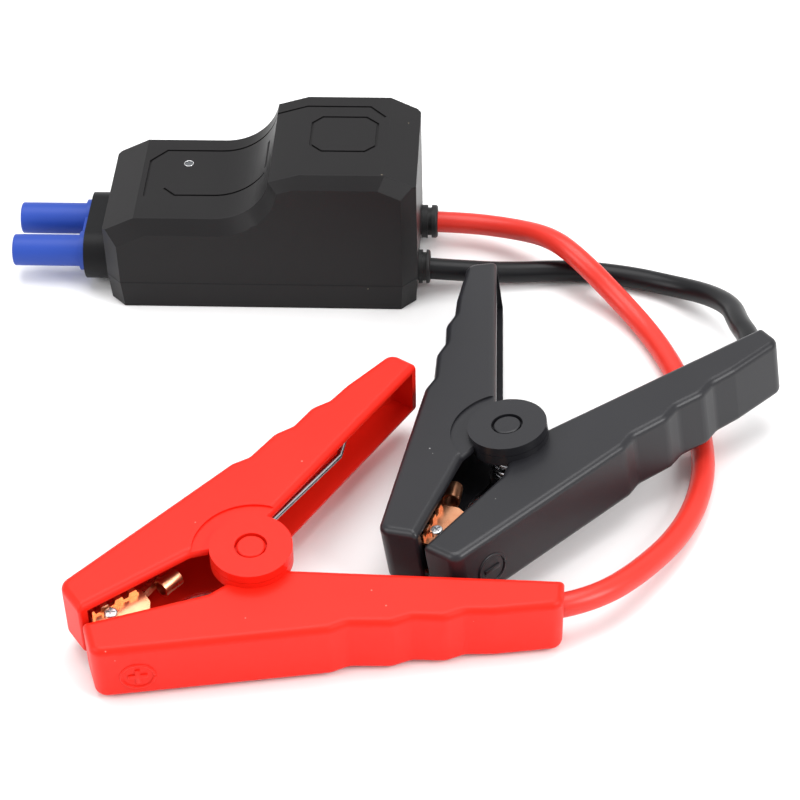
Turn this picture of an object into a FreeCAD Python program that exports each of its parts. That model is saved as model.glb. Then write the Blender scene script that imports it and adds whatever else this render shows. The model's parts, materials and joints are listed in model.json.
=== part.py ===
import FreeCAD, Part
import math
import os

V = FreeCAD.Vector

# Smart jumper lead: a control box with a two-pole battery plug at one end and, at the
# other, a red and a black lead that each end in a sprung battery clamp.
# Millimetres. The origin is the centre of the control box's flat base, X runs along the
# box from the plug to the leads, Y across it, Z up.

# Control box
BOX_LONG = 93.8
BOX_WIDE = 46.3
BOX_WALL = 2.0
CORNER_CUT = 4.4
PARTING_Z = 9.3
BASE_TAPER = 0.6
BASE_FLOOR = 2.0
EDGE_STRIP = 3.4
LOW_DECK_Z = 31.2
HIGH_DECK_Z = 47.7
LOW_STRIP_DROP = 3.8
HIGH_STRIP_DROP = 3.1
END_SLOPE_DROP = 4.9
# The middle of the deck: the low deck starts at the plug end, and the rest is laid out back
# from the lead end, so that a longer box has a longer low deck
LOW_DECK_INSET = 9.85
RISE_LONG = 17.1
SHOULDER_LONG = 9.2
SHOULDER_DROP = 2.8
HIGH_DECK_LONG = 24.8
HIGH_DECK_INSET = 9.1
# The same stretches along the side walls
WALL_LOW_INSET = 13.5
WALL_RISE_LONG = 18.6
WALL_SHOULDER_LONG = 4.9
WALL_HIGH_LONG = 24.6
WALL_HIGH_INSET = 11.0
# Engraved panels, with their margins to the deck's two ends
GROOVE_WIDE = 0.9
GROOVE_DEEP = 0.5
LOW_PANEL_MARGINS = (3.15, 2.1)
LOW_PANEL_WIDE = 21.2
LOW_PANEL_CUT = 4.2
HIGH_PANEL_MARGINS = (1.6, 4.2)
HIGH_PANEL_WIDE = 19.6
HIGH_PANEL_CUT = 3.2
PANEL_EASE = 0.3
# A cut corner loses this share of what the walls beside it move in
CORNER_SHARE = 0.586
# The strip between deck and wall narrows by this share of what the walls move in
STRIP_SHARE = 0.4
# How far a cutter reaches past what it cuts, and how deep fused pieces run into each other
OVER = 1.0
JOIN = 0.5
# Least radius that an outline keeps when it is moved inwards
LEAST_RADIUS = 0.4

# Battery plug
BARREL_D = 9.6
BARREL_BORE = 6.6
BARREL_PITCH = 16.0
BARREL_LONG = 20.6
PLUG_Z = 9.4
LIP_LONG = 1.9
LIP_OVER = 1.1
COLLAR_LONG = 7.6
COLLAR_HIGH = 16.0
COLLAR_WIDE = 32.8
COLLAR_WALL = 2.6
COLLAR_FLANGE = 1.6
FLANGE_OVER_WIDE = 3.0
FLANGE_OVER_HIGH = 2.4
BARREL_ROUND = 0.6
WEB_STEP = 2.0
SOCKET_D = 6.5
SOCKET_BORE = 5.0
SOCKET_DEEP = 13.0
SOCKET_CAP = 2.4
SOCKET_SINK = 1.5
CAP_OVER = 0.9
TAB_THICK = 1.2
TAB_WIDE = 4.0
TAB_FOOT_LONG = 3.5
TAB_FOOT_HIGH = 1.0

# Leads and grommets
LEAD_D = 6.5
LEAD_INSET = 12.0
LEAD_Y = BOX_WIDE / 2 - LEAD_INSET
LEAD_Z = 7.5
GROMMET_D = 10.2
GROMMET_NECK = 8.2
GROMMET_RIM = 3.5
GROMMET_ROUND = 0.8
GROMMET_FLANGE = 1.6
WAIST_WIDE = 1.2
WAIST_DEEP = 0.8
RED_STAND_OFF = 1.5
LEAD_INSIDE = 7.0
CONDUCTOR_D = 3.8
BARE_LONG = 1.5
CUP_LONG = 8.0
CUP_WALL = 1.0
RISER_INSET = 1.0
RISER_LONG = 3.0
RISER_WIDE = 4.0

# Electronics
BOARD_THICK = 1.6
BOARD_CLEAR = 1.2
BOARD_Z = 14.2
BOARD_NOTCH_LONG = 1.0
BOARD_NOTCH_SIDE = 2.0
RELAY_SIZE = (30.0, 27.0, 24.0)
RELAY_INSET = 22.9
RELAY_ROUND = 1.0
LED_SIZE = (3.2, 2.8, 2.0)
LIGHT_INSET = 23.5
LIGHT_Y = 7.6
LIGHT_D = 2.6
LIGHT_SINK = 0.2
LIGHT_COLLAR_OVER = 0.9
LIGHT_COLLAR_HIGH = 1.2

# Fasteners of the box
SCREW_D = 2.6
SCREW_HEAD_D = 5.0
SCREW_HEAD_HIGH = 1.8
SCREW_HEAD_SINK = 0.6
SCREW_CLEAR = 0.2
SCREW_BITE = 8.0
SLOT_LONG = 4.0
SLOT_WIDE = 0.7
SLOT_DEEP = 0.7
POST_D = 6.2
POST_INSET = 7.2
POST_INSET_Y = 5.6
POST_DROP = 4.5
# How deep the posts root in the side walls
HOUSING_POST_BITE = 1.0
BASE_POST_BITE = 0.2

# Clamp lever, drawn round its pivot: U along the handle, V across it, W up from mid-height
CLAMP_THICK = 24.0
BODY_DROP = 1.28
BODY_THICK = 18.3
LEVER_WALL = 2.2
EDGE_ROUND = 2.0
EAR_R = 10.8
OUTER_EAR = 2.6
INNER_EAR = 3.0
EAR_GAP = 0.15
EAR_CLEAR = 0.35
RECESS_R = 15.6
RECESS_DEEP = 0.6
OPEN_ANGLE = 59.2
NOTCH_V = -5.3
NOTCH_LONG = 3.3
NOTCH_CLEAR = 0.4
PIN_D = 6.0
PIN_HEAD_D = 7.4
PIN_HEAD_HIGH = 1.3
PIN_SINK = 0.15
PIN_ROUND = 0.5
HEAD_RING = 0.6
HEAD_CLEAR = 0.1
PIN_CLEAR = 0.05

# Outline of a lever, as U, V and the radius of the corner: the outer side from the nose to
# the tail with its finger waves, then the inner side back along the handle and the jaw
NOSE_CORNER = (-36.7, -34.2, 3.5)
FINGER_WAVES = [(22.0, -23.3, 5.0), (26.6, -20.9, 4.0), (37.4, -20.4, 5.0), (42.6, -18.0, 4.0),
                (51.0, -17.9, 5.0), (56.0, -15.5, 4.0), (63.5, -15.0, 6.0)]
TAIL_OUTER = (80.8, -12.0, 3.4)
TAIL_INNER = (80.8, -3.3, 0.9)
HANDLE_ROOT = (6.0, -3.3, 0.5)
THROAT = [(-4.5, -7.6, 0.5), (-10.0, -12.4, 2.5)]
JAW_NOSE = (-40.6, -23.9, 0.9)
JAW_ROOT = (-24.5, -17.9, 0.0)
# Sides of that outline that have a wall; the others are open towards the other lever, stay
# sharp, and the channel is cut out through them
OUTER_SIDES = (0, 1, 2, 3, 4, 5, 6, 7, 8, 13)
CHANNEL_OVER = 1.5
SHARP_REACH = 0.45

# Spring
WIRE_D = 1.7
SPRING_OD = 12.4
SPRING_PITCH = 3.0
WHOLE_TURNS = 3
LEG_U = 54.0
LEG_V = -9.0
LEG_W_FREE = -1.5
LEG_W_CABLE = -6.6
SPRING_CLEAR = 0.6
RIB_THICK = 2.0
RIB_LIP = 1.4
RIB_ROOT = 0.8
ROOM_ROOT = 0.5

# Copper jaw
JAW_THICK = 1.1
JAW_TOP = 5.3
TOOTH_PITCH = 4.1
TOOTH_DEEP = 1.3
LIP_HIGH = 1.9
BARREL_U = -15.0
BARREL_V = -16.0
BARREL_W = -1.6
CRIMP_D = 4.9
CRIMP_LONG = 5.8
CRIMP_TURN = 8.0
JAW_SCREW_U = -34.0
JAW_SCREW_V = -19.3
JAW_SCREW_D = 2.0
JAW_SCREW_HEAD_D = 3.5
JAW_SCREW_HEAD = 1.1
JAW_SCREW_LONG = 3.2
JAW_SCREW_CLEAR = 0.1
JAW_SCREW_ROUND = 0.5
CROSS_LONG = 2.6
CROSS_WIDE = 0.5
CROSS_FLOOR = 0.5
# Plastic arm that carries the plate, and how far it may stand out of the lever's wall
ARM_HALF = 3.2
ARM_LOW = 0.5
ARM_PAST_SCREW = 2.2
ARM_OUT_V = -24.0
# Copper plate: its corners under the lever, then its edge along the other lever's jaw
PLATE_BACK = [(-36.4, -25.4, 0.6), (-24.0, -21.0, 0.6), (-24.6, -14.5, 1.5)]
PLATE_SET_BACK = 1.6
PLATE_TIP_SHARE = 0.6
PLATE_TIP = 3.2
PLATE_HEEL = 1.2
PLATE_ROUNDS = (1.2, 0.5)
LIP_SHORT = 1.6
LIP_START = 0.3
TOOTH_START = 0.6
# Across one tooth gap, as shares of the pitch: mouth, then floor from and to
TOOTH_MOUTH = 0.55
TOOTH_FLOOR = (0.1, 0.45)
# Strap from the plate down to the crimp barrel
STRAP_U = -25.6
STRAP_WIDE = 2.8
STRAP_DROP = 2.6
STRAP_BITE = 0.6
STRAP_REACH = 1.6
STRAP_RISER = 1.2
STRAP_TOP = 0.3

# Where each clamp lies: the pivot in plan, the way its face points and its heading
RED_PIVOT = (9.27, -146.76)
RED_FACE = (0.0079, -0.0446, 0.999)
RED_HEADING = -1.1
BLACK_PIVOT = (76.19, -103.0)
BLACK_FACE = (-0.137, 0.075, 0.988)
BLACK_HEADING = 31.6

# Routes of the leads over the floor, between the grommets and the clamps
RED_ROUTE = [(62.0, 11.15, 7.5), (80.5, 7.5, 11.0), (92.0, -7.0, 16.3), (99.5, -19.5, 15.6),
             (108.0, -29.0, 9.5), (116.5, -41.0, 3.9), (123.5, -57.0, 3.5), (129.0, -77.0, 3.4),
             (129.3, -98.0, 3.6), (122.5, -119.5, 4.2), (108.5, -139.0, 8.2)]
BLACK_ROUTE = [(60.0, -11.15, 7.5), (80.0, -7.6, 3.6), (108.0, -8.8, 3.4), (128.0, -18.0, 4.0),
               (140.5, -30.0, 9.5)]
# Then into the tail and along the lever, as U, V and drop below the middle of its thickness
RED_TAIL = [(87.5, -2.6, 0.0), (72.0, -7.7, 0.0)]
BLACK_TAIL = [(84.5, 16.0, 2.0), (80.0, -1.5, 0.0), (66.0, -8.6, 0.0)]
LEVER_ROUTE = [(46.0, -11.0, 0.0), (20.0, -14.6, 0.0)]
LAST_RUN = 9.0


def cylinder(radius, low, high, u=0.0, v=0.0):
    """Upright cylinder between two heights."""
    return Part.makeCylinder(radius, high - low, V(u, v, low))


def cylinder_x(radius, low, high, y=0.0, z=0.0):
    """Cylinder along X between two stations."""
    return Part.makeCylinder(radius, high - low, V(low, y, z), V(1, 0, 0))


def block(low, high):
    """Box between two corners."""
    size = [b - a for a, b in zip(low, high)]
    return Part.makeBox(size[0], size[1], size[2], V(*low))


def fuse(shapes):
    """Join overlapping solids into one, without leftover seams."""
    return shapes[0].multiFuse(shapes[1:]).removeSplitter()


def rounded_wire(corners, z=0.0):
    """Closed outline through (u, v, radius) corners, each rounded by its own tangent arc."""
    points = [V(c[0], c[1], z) for c in corners]
    count = len(points)
    ends = []
    for i in range(count):
        before = (points[i - 1] - points[i]).normalize()
        after = (points[(i + 1) % count] - points[i]).normalize()
        half = before.getAngle(after) / 2
        back = corners[i][2] / math.tan(half)
        middle = (before + after).normalize() * (corners[i][2] / math.sin(half) - corners[i][2])
        ends.append((points[i] + before * back, points[i] + middle, points[i] + after * back))
    edges = []
    for i in range(count):
        start, middle, stop = ends[i]
        if corners[i][2] > 0:
            edges.append(Part.Arc(start, middle, stop).toShape())
        edges.append(Part.LineSegment(stop, ends[(i + 1) % count][0]).toShape())
    return Part.Wire(edges)


def rounded_prism(corners, low, high):
    """Upright prism on a rounded outline."""
    return Part.Face(rounded_wire(corners, low)).extrude(V(0, 0, high - low))


def offset_corners(corners, distances):
    """Move each side of an outline inwards by its own distance; side i runs from corner i."""
    count = len(corners)
    lines = []
    for i in range(count):
        a, b = corners[i], corners[(i + 1) % count]
        length = math.hypot(b[0] - a[0], b[1] - a[1])
        along = ((b[0] - a[0]) / length, (b[1] - a[1]) / length)
        shift = (-along[1] * distances[i], along[0] * distances[i])
        lines.append((a[0] + shift[0], a[1] + shift[1], along[0], along[1]))
    moved = []
    for i in range(count):
        p, q = lines[i - 1], lines[i]
        cross = p[2] * q[3] - p[3] * q[2]
        t = ((q[0] - p[0]) * q[3] - (q[1] - p[1]) * q[2]) / cross
        turn = 1 if cross > 0 else -1
        radius = corners[i][2] - turn * min(distances[i - 1], distances[i])
        moved.append((p[0] + p[2] * t, p[1] + p[3] * t, max(radius, LEAST_RADIUS)))
    return moved


def tangent_path(points, diameter, name):
    """Straight runs joined by tangent arcs, each as large as its two runs allow."""
    runs = [(b - a) for a, b in zip(points[:-1], points[1:])]
    edges = []
    radii = []
    at = points[0]
    for i in range(1, len(points) - 1):
        before = V(runs[i - 1]).normalize()
        after = V(runs[i]).normalize()
        turn = before.getAngle(after)
        back = 0.45 * min(runs[i - 1].Length, runs[i].Length)
        radius = back / math.tan(turn / 2)
        inward = (after - before).normalize()
        start = points[i] - before * back
        stop = points[i] + after * back
        middle = points[i] + inward * (radius / math.cos(turn / 2) - radius)
        edges.append(Part.LineSegment(at, start).toShape())
        edges.append(Part.Arc(start, middle, stop).toShape())
        radii.append(radius)
        at = stop
    edges.append(Part.LineSegment(at, points[-1]).toShape())
    print(name, "arc radii", [round(r, 1) for r in radii], "in diameters, least",
          round(min(radii) / diameter, 1))
    print(name, "runs", [round(r.Length, 1) for r in runs])
    return Part.Wire(edges)


def tube(path, diameter, name):
    """Round tube along a path, with its volume set against section times length."""
    first = path.Edges[0]
    along = first.tangentAt(first.FirstParameter)
    ring = Part.Wire(Part.makeCircle(diameter / 2, first.valueAt(first.FirstParameter), along))
    solid = path.makePipeShell([ring], True, False)
    due = math.pi * diameter ** 2 / 4 * path.Length
    print(name, "length", round(path.Length, 1), "volume over due", round(solid.Volume / due, 4))
    return solid


# Control box

def end_x(station):
    """Station measured from the plug end, in the box's own frame."""
    return station - BOX_LONG / 2


def stations_along(low_inset, rise, shoulder, high, high_inset):
    """Five bends of a side outline, measured from the plug end."""
    high_to = BOX_LONG - high_inset
    high_from = high_to - high
    rise_to = high_from - shoulder
    return low_inset, rise_to - rise, rise_to, high_from, high_to


def deck_stations():
    """Bends of the middle of the deck."""
    return stations_along(LOW_DECK_INSET, RISE_LONG, SHOULDER_LONG, HIGH_DECK_LONG,
                          HIGH_DECK_INSET)


def wall_stations():
    """Bends of the top edge of a side wall."""
    return stations_along(WALL_LOW_INSET, WALL_RISE_LONG, WALL_SHOULDER_LONG, WALL_HIGH_LONG,
                          WALL_HIGH_INSET)


def side_profile(y, strip, grow):
    """Side outline of the housing on one plane; the strip is lower than the deck."""
    if strip:
        low_z, high_z = LOW_DECK_Z - LOW_STRIP_DROP, HIGH_DECK_Z - HIGH_STRIP_DROP
        stations = wall_stations()
        rise_drop = SHOULDER_DROP * WALL_SHOULDER_LONG / SHOULDER_LONG
    else:
        low_z, high_z = LOW_DECK_Z, HIGH_DECK_Z
        stations = deck_stations()
        rise_drop = SHOULDER_DROP
    low_z, high_z = low_z - grow, high_z - grow
    slope = END_SLOPE_DROP / LOW_DECK_INSET
    left = low_z - slope * (stations[0] - grow)
    right = high_z - slope * (BOX_LONG - grow - stations[4])
    points = [(grow, PARTING_Z), (grow, left), (stations[0], low_z), (stations[1], low_z),
              (stations[2], high_z - rise_drop), (stations[3], high_z), (stations[4], high_z),
              (BOX_LONG - grow, right), (BOX_LONG - grow, PARTING_Z)]
    return [V(end_x(x), y, z) for x, z in points]


def dished_wire(points):
    """Side outline as a wire; the rise between the decks is an arc that starts level."""
    edges = []
    for i in range(len(points)):
        a, b = points[i], points[(i + 1) % len(points)]
        if i == 3:
            run, rise = b.x - a.x, b.z - a.z
            radius = (run ** 2 + rise ** 2) / (2 * rise)
            half = math.asin(run / radius) / 2
            middle = V(a.x + radius * math.sin(half), a.y, a.z + radius * (1 - math.cos(half)))
            edges.append(Part.Arc(a, middle, b).toShape())
        else:
            edges.append(Part.LineSegment(a, b).toShape())
    return Part.Wire(edges)


def housing_body(grow):
    """Solid of the upper housing, moved inwards by grow on every side but the bottom."""
    half = BOX_WIDE / 2 - grow
    inner = BOX_WIDE / 2 - EDGE_STRIP - grow * STRIP_SHARE
    deck = Part.Face(dished_wire(side_profile(-inner, False, grow)))
    pieces = [deck.extrude(V(0, 2 * inner, 0))]
    for side in (-1, 1):
        wall = dished_wire(side_profile(side * half, True, grow))
        edge = dished_wire(side_profile(side * inner, False, grow))
        pieces.append(Part.makeLoft([wall, edge], True, True))
    body = fuse(pieces)
    return body.common(plan_prism(grow, grow, PARTING_Z, HIGH_DECK_Z + OVER))


def plan_corners(grow, taper):
    """Plan outline of the box with its four cut corners."""
    x = BOX_LONG / 2 - grow - taper
    y = BOX_WIDE / 2 - grow - taper
    cut = CORNER_CUT - grow * CORNER_SHARE
    return [(x, y - cut), (x - cut, y), (cut - x, y), (-x, y - cut),
            (-x, cut - y), (cut - x, -y), (x - cut, -y), (x, cut - y)]


def plan_wire(grow, taper, z):
    """Plan outline of the box at one height."""
    points = [V(x, y, z) for x, y in plan_corners(grow, taper)]
    return Part.makePolygon(points + points[:1])


def plan_prism(grow_low, grow_high, low, high):
    """Prism on the plan outline."""
    return Part.makeLoft([plan_wire(grow_low, 0, low), plan_wire(grow_high, 0, high)], True, True)


def post_places():
    """The four screw posts, clear of the plug, the leads and the cut corners."""
    x = BOX_LONG / 2 - POST_INSET
    y = BOX_WIDE / 2 - POST_INSET_Y
    return [(-x, -y), (-x, y), (x, -y), (x, y)]


def stadium(wide, high, low_x, high_x):
    """Solid along X with a section of two half circles and flat top and bottom."""
    offset = (wide - high) / 2
    body = block((low_x, -offset, PLUG_Z - high / 2), (high_x, offset, PLUG_Z + high / 2))
    ends = [cylinder_x(high / 2, low_x, high_x, s * offset, PLUG_Z) for s in (-1, 1)]
    return fuse([body] + ends)


def lead_holes():
    """Holes that the grommets' necks fill."""
    end = BOX_LONG / 2
    return [cylinder_x(GROMMET_NECK / 2, end - BOX_WALL - OVER, end + OVER, s * LEAD_Y, LEAD_Z)
            for s in (-1, 1)]


def collar_hole():
    """Hole in the end wall that the plug's collar fills."""
    end = -BOX_LONG / 2
    return stadium(COLLAR_WIDE, COLLAR_HIGH, end - OVER, end + BOX_WALL)


def deck_groove(corners, z):
    """Closed groove sunk into a level deck."""
    inner = offset_corners(corners, [GROOVE_WIDE] * len(corners))
    outside = rounded_prism(corners, z - GROOVE_DEEP, z + OVER)
    return outside.cut(rounded_prism(inner, z - GROOVE_DEEP - OVER, z + 2 * OVER))


def panel_outline(deck_from, deck_to, margins, wide, cut):
    """Cut-cornered rectangle on a deck, anticlockwise, with slightly eased corners."""
    x0, x1 = end_x(deck_from) + margins[0], end_x(deck_to) - margins[1]
    y = wide / 2
    corners = [(x1, cut - y), (x1, y - cut), (x1 - cut, y), (x0 + cut, y),
               (x0, y - cut), (x0, cut - y), (x0 + cut, -y), (x1 - cut, -y)]
    return [(u, v, PANEL_EASE) for u, v in corners]


def upper_housing():
    """Shell with two decks joined by a dished rise, its posts and its openings."""
    shell = housing_body(0).cut(housing_body(BOX_WALL))
    board_top = BOARD_Z + BOARD_THICK
    posts = []
    for x, y in post_places():
        top = (HIGH_DECK_Z if x > 0 else LOW_DECK_Z) - POST_DROP
        posts.append(cylinder(POST_D / 2, BOARD_Z + BOARD_THICK, top, x, y))
    rooted = housing_body(BOX_WALL - HOUSING_POST_BITE)
    shell = fuse([shell] + [p.common(rooted) for p in posts])
    bore_top = BOARD_Z + SCREW_BITE + OVER
    for x, y in post_places():
        shell = shell.cut(cylinder(SCREW_D / 2, board_top - OVER, bore_top, x, y))
    light = cylinder(LIGHT_D / 2, LOW_DECK_Z - BOX_WALL - OVER, LOW_DECK_Z + OVER,
                     end_x(LIGHT_INSET), LIGHT_Y)
    shell = shell.cut(light)
    for hole in lead_holes() + [collar_hole()]:
        shell = shell.cut(hole)
    low_from, low_to, _, high_from, high_to = deck_stations()
    low_panel = panel_outline(low_from, low_to, LOW_PANEL_MARGINS, LOW_PANEL_WIDE, LOW_PANEL_CUT)
    high_panel = panel_outline(high_from, high_to, HIGH_PANEL_MARGINS, HIGH_PANEL_WIDE,
                               HIGH_PANEL_CUT)
    for corners, z in ((low_panel, LOW_DECK_Z), (high_panel, HIGH_DECK_Z)):
        shell = shell.cut(deck_groove(corners, z))
    return shell


def base_cover():
    """Shallow tray under the housing, with a post round each screw."""
    outer = Part.makeLoft([plan_wire(0, BASE_TAPER, 0), plan_wire(0, 0, PARTING_Z)], True, True)
    inner = plan_prism(BOX_WALL, BOX_WALL, BASE_FLOOR, PARTING_Z + OVER)
    tray = outer.cut(inner)
    posts = [cylinder(POST_D / 2, BASE_FLOOR - JOIN, BOARD_Z, x, y) for x, y in post_places()]
    rooted = BOX_WALL - BASE_POST_BITE
    room = plan_prism(rooted, rooted, 0, BOARD_Z + OVER)
    tray = fuse([tray] + [p.common(room) for p in posts])
    for x, y in post_places():
        tray = tray.cut(cylinder(SCREW_D / 2 + SCREW_CLEAR, -OVER, BOARD_Z + OVER, x, y))
        head_top = SCREW_HEAD_SINK + SCREW_HEAD_HIGH
        tray = tray.cut(cylinder(SCREW_HEAD_D / 2 + SCREW_CLEAR, -OVER, head_top, x, y))
    for hole in lead_holes() + [collar_hole()]:
        tray = tray.cut(hole)
    return tray


def housing_screws():
    """Four screws, from under the base through the board into the housing's posts."""
    screws = []
    for x, y in post_places():
        low = SCREW_HEAD_SINK
        head = cylinder(SCREW_HEAD_D / 2, low, low + SCREW_HEAD_HIGH, x, y)
        slot = block((x - SLOT_LONG / 2, y - SLOT_WIDE / 2, low - OVER),
                     (x + SLOT_LONG / 2, y + SLOT_WIDE / 2, low + SLOT_DEEP))
        shank = cylinder(SCREW_D / 2, low + SCREW_HEAD_HIGH, BOARD_Z + SCREW_BITE, x, y)
        screws.append(fuse([head, shank]).cut(slot))
    return Part.makeCompound(screws)


# Electronics

def circuit_board():
    """Board that rests on the base's posts, with a hole for each screw."""
    points = [V(x, y, BOARD_Z) for x, y in plan_corners(BOX_WALL + BOARD_CLEAR, 0)]
    board = Part.Face(Part.makePolygon(points + points[:1])).extrude(V(0, 0, BOARD_THICK))
    for x, y in post_places():
        board = board.cut(cylinder(SCREW_D / 2 + SCREW_CLEAR, 0, HIGH_DECK_Z, x, y))
    end = -BOX_LONG / 2
    notch_x = end + BOX_WALL + COLLAR_FLANGE + SOCKET_CAP + BOARD_NOTCH_LONG
    notch_y = COLLAR_WIDE / 2 + BOARD_NOTCH_SIDE
    return board.cut(block((end, -notch_y, 0), (notch_x, notch_y, HIGH_DECK_Z)))


def relay():
    """Sealed relay on the board, under the high deck."""
    long, wide, high = RELAY_SIZE
    low = BOARD_Z + BOARD_THICK
    middle = BOX_LONG / 2 - RELAY_INSET
    body = block((middle - long / 2, -wide / 2, low), (middle + long / 2, wide / 2, low + high))
    edges = [e for e in body.Edges if abs(e.tangentAt(e.FirstParameter).z) > 0.9]
    return body.makeFillet(RELAY_ROUND, edges)


def status_led():
    """Small chip under the light pipe."""
    long, wide, high = LED_SIZE
    x = end_x(LIGHT_INSET) - long / 2
    y = LIGHT_Y - wide / 2
    low = BOARD_Z + BOARD_THICK
    return block((x, y, low), (x + long, y + wide, low + high))


def light_pipe():
    """Clear rod from the chip to the low deck."""
    low = BOARD_Z + BOARD_THICK + LED_SIZE[2]
    x = end_x(LIGHT_INSET)
    rod = cylinder(LIGHT_D / 2, low, LOW_DECK_Z - LIGHT_SINK, x, LIGHT_Y)
    top = LOW_DECK_Z - BOX_WALL
    collar = cylinder(LIGHT_D / 2 + LIGHT_COLLAR_OVER, top - LIGHT_COLLAR_HIGH, top, x, LIGHT_Y)
    return fuse([rod, collar])


# Plug

def plug_shell():
    """Two open barrels on a figure-eight lip and a stem that fills the collar."""
    end = -BOX_LONG / 2
    lip_high_x = end - COLLAR_LONG
    lip_low_x = lip_high_x - LIP_LONG
    pieces = []
    for s in (-1, 1):
        y = s * BARREL_PITCH / 2
        barrel = cylinder_x(BARREL_D / 2, lip_low_x - BARREL_LONG, lip_low_x + JOIN, y, PLUG_Z)
        mouth = [e for e in barrel.Edges if abs(e.CenterOfMass.x - lip_low_x + BARREL_LONG) < 0.01]
        pieces.append(barrel.makeFillet(BARREL_ROUND, mouth))
        pieces.append(cylinder_x(BARREL_D / 2 + LIP_OVER, lip_low_x, lip_high_x, y, PLUG_Z))
    stem_high = COLLAR_HIGH - 2 * COLLAR_WALL
    stem_wide = COLLAR_WIDE - 2 * COLLAR_WALL
    web = BARREL_D / 2 + LIP_OVER - WEB_STEP
    pieces.append(block((lip_low_x, -BARREL_PITCH / 2, PLUG_Z - web),
                        (lip_high_x, BARREL_PITCH / 2, PLUG_Z + web)))
    pieces.append(stadium(stem_wide, stem_high, lip_high_x - JOIN, end + BOX_WALL))
    shell = fuse(pieces)
    mouth_x = lip_low_x - BARREL_LONG
    for s in (-1, 1):
        y = s * BARREL_PITCH / 2
        bore = cylinder_x(BARREL_BORE / 2, mouth_x - OVER, end + BOX_WALL + OVER, y, PLUG_Z)
        shell = shell.cut(bore)
    return shell


def plug_collar():
    """Oval sleeve that the two halves of the box hold by its inner flange."""
    end = -BOX_LONG / 2
    sleeve = stadium(COLLAR_WIDE, COLLAR_HIGH, end - COLLAR_LONG, end + BOX_WALL)
    inside = end + BOX_WALL
    flange = stadium(COLLAR_WIDE + FLANGE_OVER_WIDE, COLLAR_HIGH + FLANGE_OVER_HIGH, inside,
                     inside + COLLAR_FLANGE)
    flange = flange.common(block((end, -COLLAR_WIDE, BASE_FLOOR), (0, COLLAR_WIDE, BOARD_Z)))
    hole = stadium(COLLAR_WIDE - 2 * COLLAR_WALL, COLLAR_HIGH - 2 * COLLAR_WALL,
                   end - COLLAR_LONG - OVER, inside + COLLAR_FLANGE + OVER)
    return fuse([sleeve, flange]).cut(hole)


def plug_contacts():
    """Two split brass sockets, each with a tab that rises to the board."""
    end = -BOX_LONG / 2
    mouth = end - COLLAR_LONG - LIP_LONG - BARREL_LONG + SOCKET_SINK
    back = end + BOX_WALL + COLLAR_FLANGE
    tab_to = back + SOCKET_CAP
    tab_from = tab_to - TAB_THICK
    contacts = []
    for s in (-1, 1):
        y = s * BARREL_PITCH / 2
        body = cylinder_x(SOCKET_D / 2, mouth, back, y, PLUG_Z)
        cap = cylinder_x(BARREL_BORE / 2 + CAP_OVER, back, tab_to, y, PLUG_Z)
        low_y, high_y = y - TAB_WIDE / 2, y + TAB_WIDE / 2
        tab = block((tab_from, low_y, PLUG_Z), (tab_to, high_y, BOARD_Z))
        foot = block((tab_from, low_y, BOARD_Z - TAB_FOOT_HIGH),
                     (tab_to + TAB_FOOT_LONG, high_y, BOARD_Z))
        solid = fuse([body, cap, tab, foot])
        bore = cylinder_x(SOCKET_BORE / 2, mouth - OVER, mouth + SOCKET_DEEP, y, PLUG_Z)
        contacts.append(solid.cut(bore))
    return Part.makeCompound(contacts)


# Leads at the box

def grommet(side, stand_off):
    """Spool of rubber round a lead, gripped by the end wall."""
    end = BOX_LONG / 2
    y = side * LEAD_Y
    rim_to = end + GROMMET_RIM + stand_off
    inner_from = end - BOX_WALL - GROMMET_FLANGE
    rim = cylinder_x(GROMMET_D / 2, end, rim_to, y, LEAD_Z)
    outer = [e for e in rim.Edges if abs(e.CenterOfMass.x - rim_to) < 0.01]
    low_x = (end + rim_to - WAIST_WIDE) / 2
    high_x = low_x + WAIST_WIDE
    waist = cylinder_x(GROMMET_D / 2 + OVER, low_x, high_x, y, LEAD_Z)
    core = cylinder_x(GROMMET_D / 2 - WAIST_DEEP, low_x - OVER, high_x + OVER, y, LEAD_Z)
    rim = rim.makeFillet(GROMMET_ROUND, outer).cut(waist.cut(core))
    neck = cylinder_x(GROMMET_NECK / 2, end - BOX_WALL - OVER, end + OVER, y, LEAD_Z)
    inner = cylinder_x(GROMMET_D / 2, inner_from, end - BOX_WALL, y, LEAD_Z)
    spool = fuse([rim, neck, inner])
    return spool.cut(cylinder_x(LEAD_D / 2, inner_from - OVER, rim_to + OVER, y, LEAD_Z))


def lead_terminals():
    """Copper cups under the board, each holding the end of a lead."""
    back = BOX_LONG / 2 - LEAD_INSIDE
    cups = []
    for s in (-1, 1):
        y = s * LEAD_Y
        cup = cylinder_x(CONDUCTOR_D / 2 + CUP_WALL, back - CUP_LONG, back, y, LEAD_Z)
        low_x = back - CUP_LONG + RISER_INSET
        riser = block((low_x, y - RISER_WIDE / 2, LEAD_Z),
                      (low_x + RISER_LONG, y + RISER_WIDE / 2, BOARD_Z))
        cups.append(fuse([cup, riser]))
    return Part.makeCompound(cups)


# Clamp levers

def lever_corners():
    """Plan outline of a lever, anticlockwise: outer side, tail, inner side, jaw side."""
    handle = [NOSE_CORNER] + FINGER_WAVES + [TAIL_OUTER, TAIL_INNER, HANDLE_ROOT]
    return handle + THROAT + [JAW_NOSE]


def lever_levels():
    """Heights of a lever's faces from the pivot's mid-height, low to high."""
    low = -CLAMP_THICK / 2 + BODY_DROP
    return low, low + BODY_THICK


def ear_levels():
    """Heights of the two ears: the outer one at the bottom, the inner one near the top."""
    outer_low = -CLAMP_THICK / 2
    inner_high = CLAMP_THICK / 2 - OUTER_EAR - EAR_GAP
    return outer_low, outer_low + OUTER_EAR, inner_high - INNER_EAR, inner_high


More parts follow.
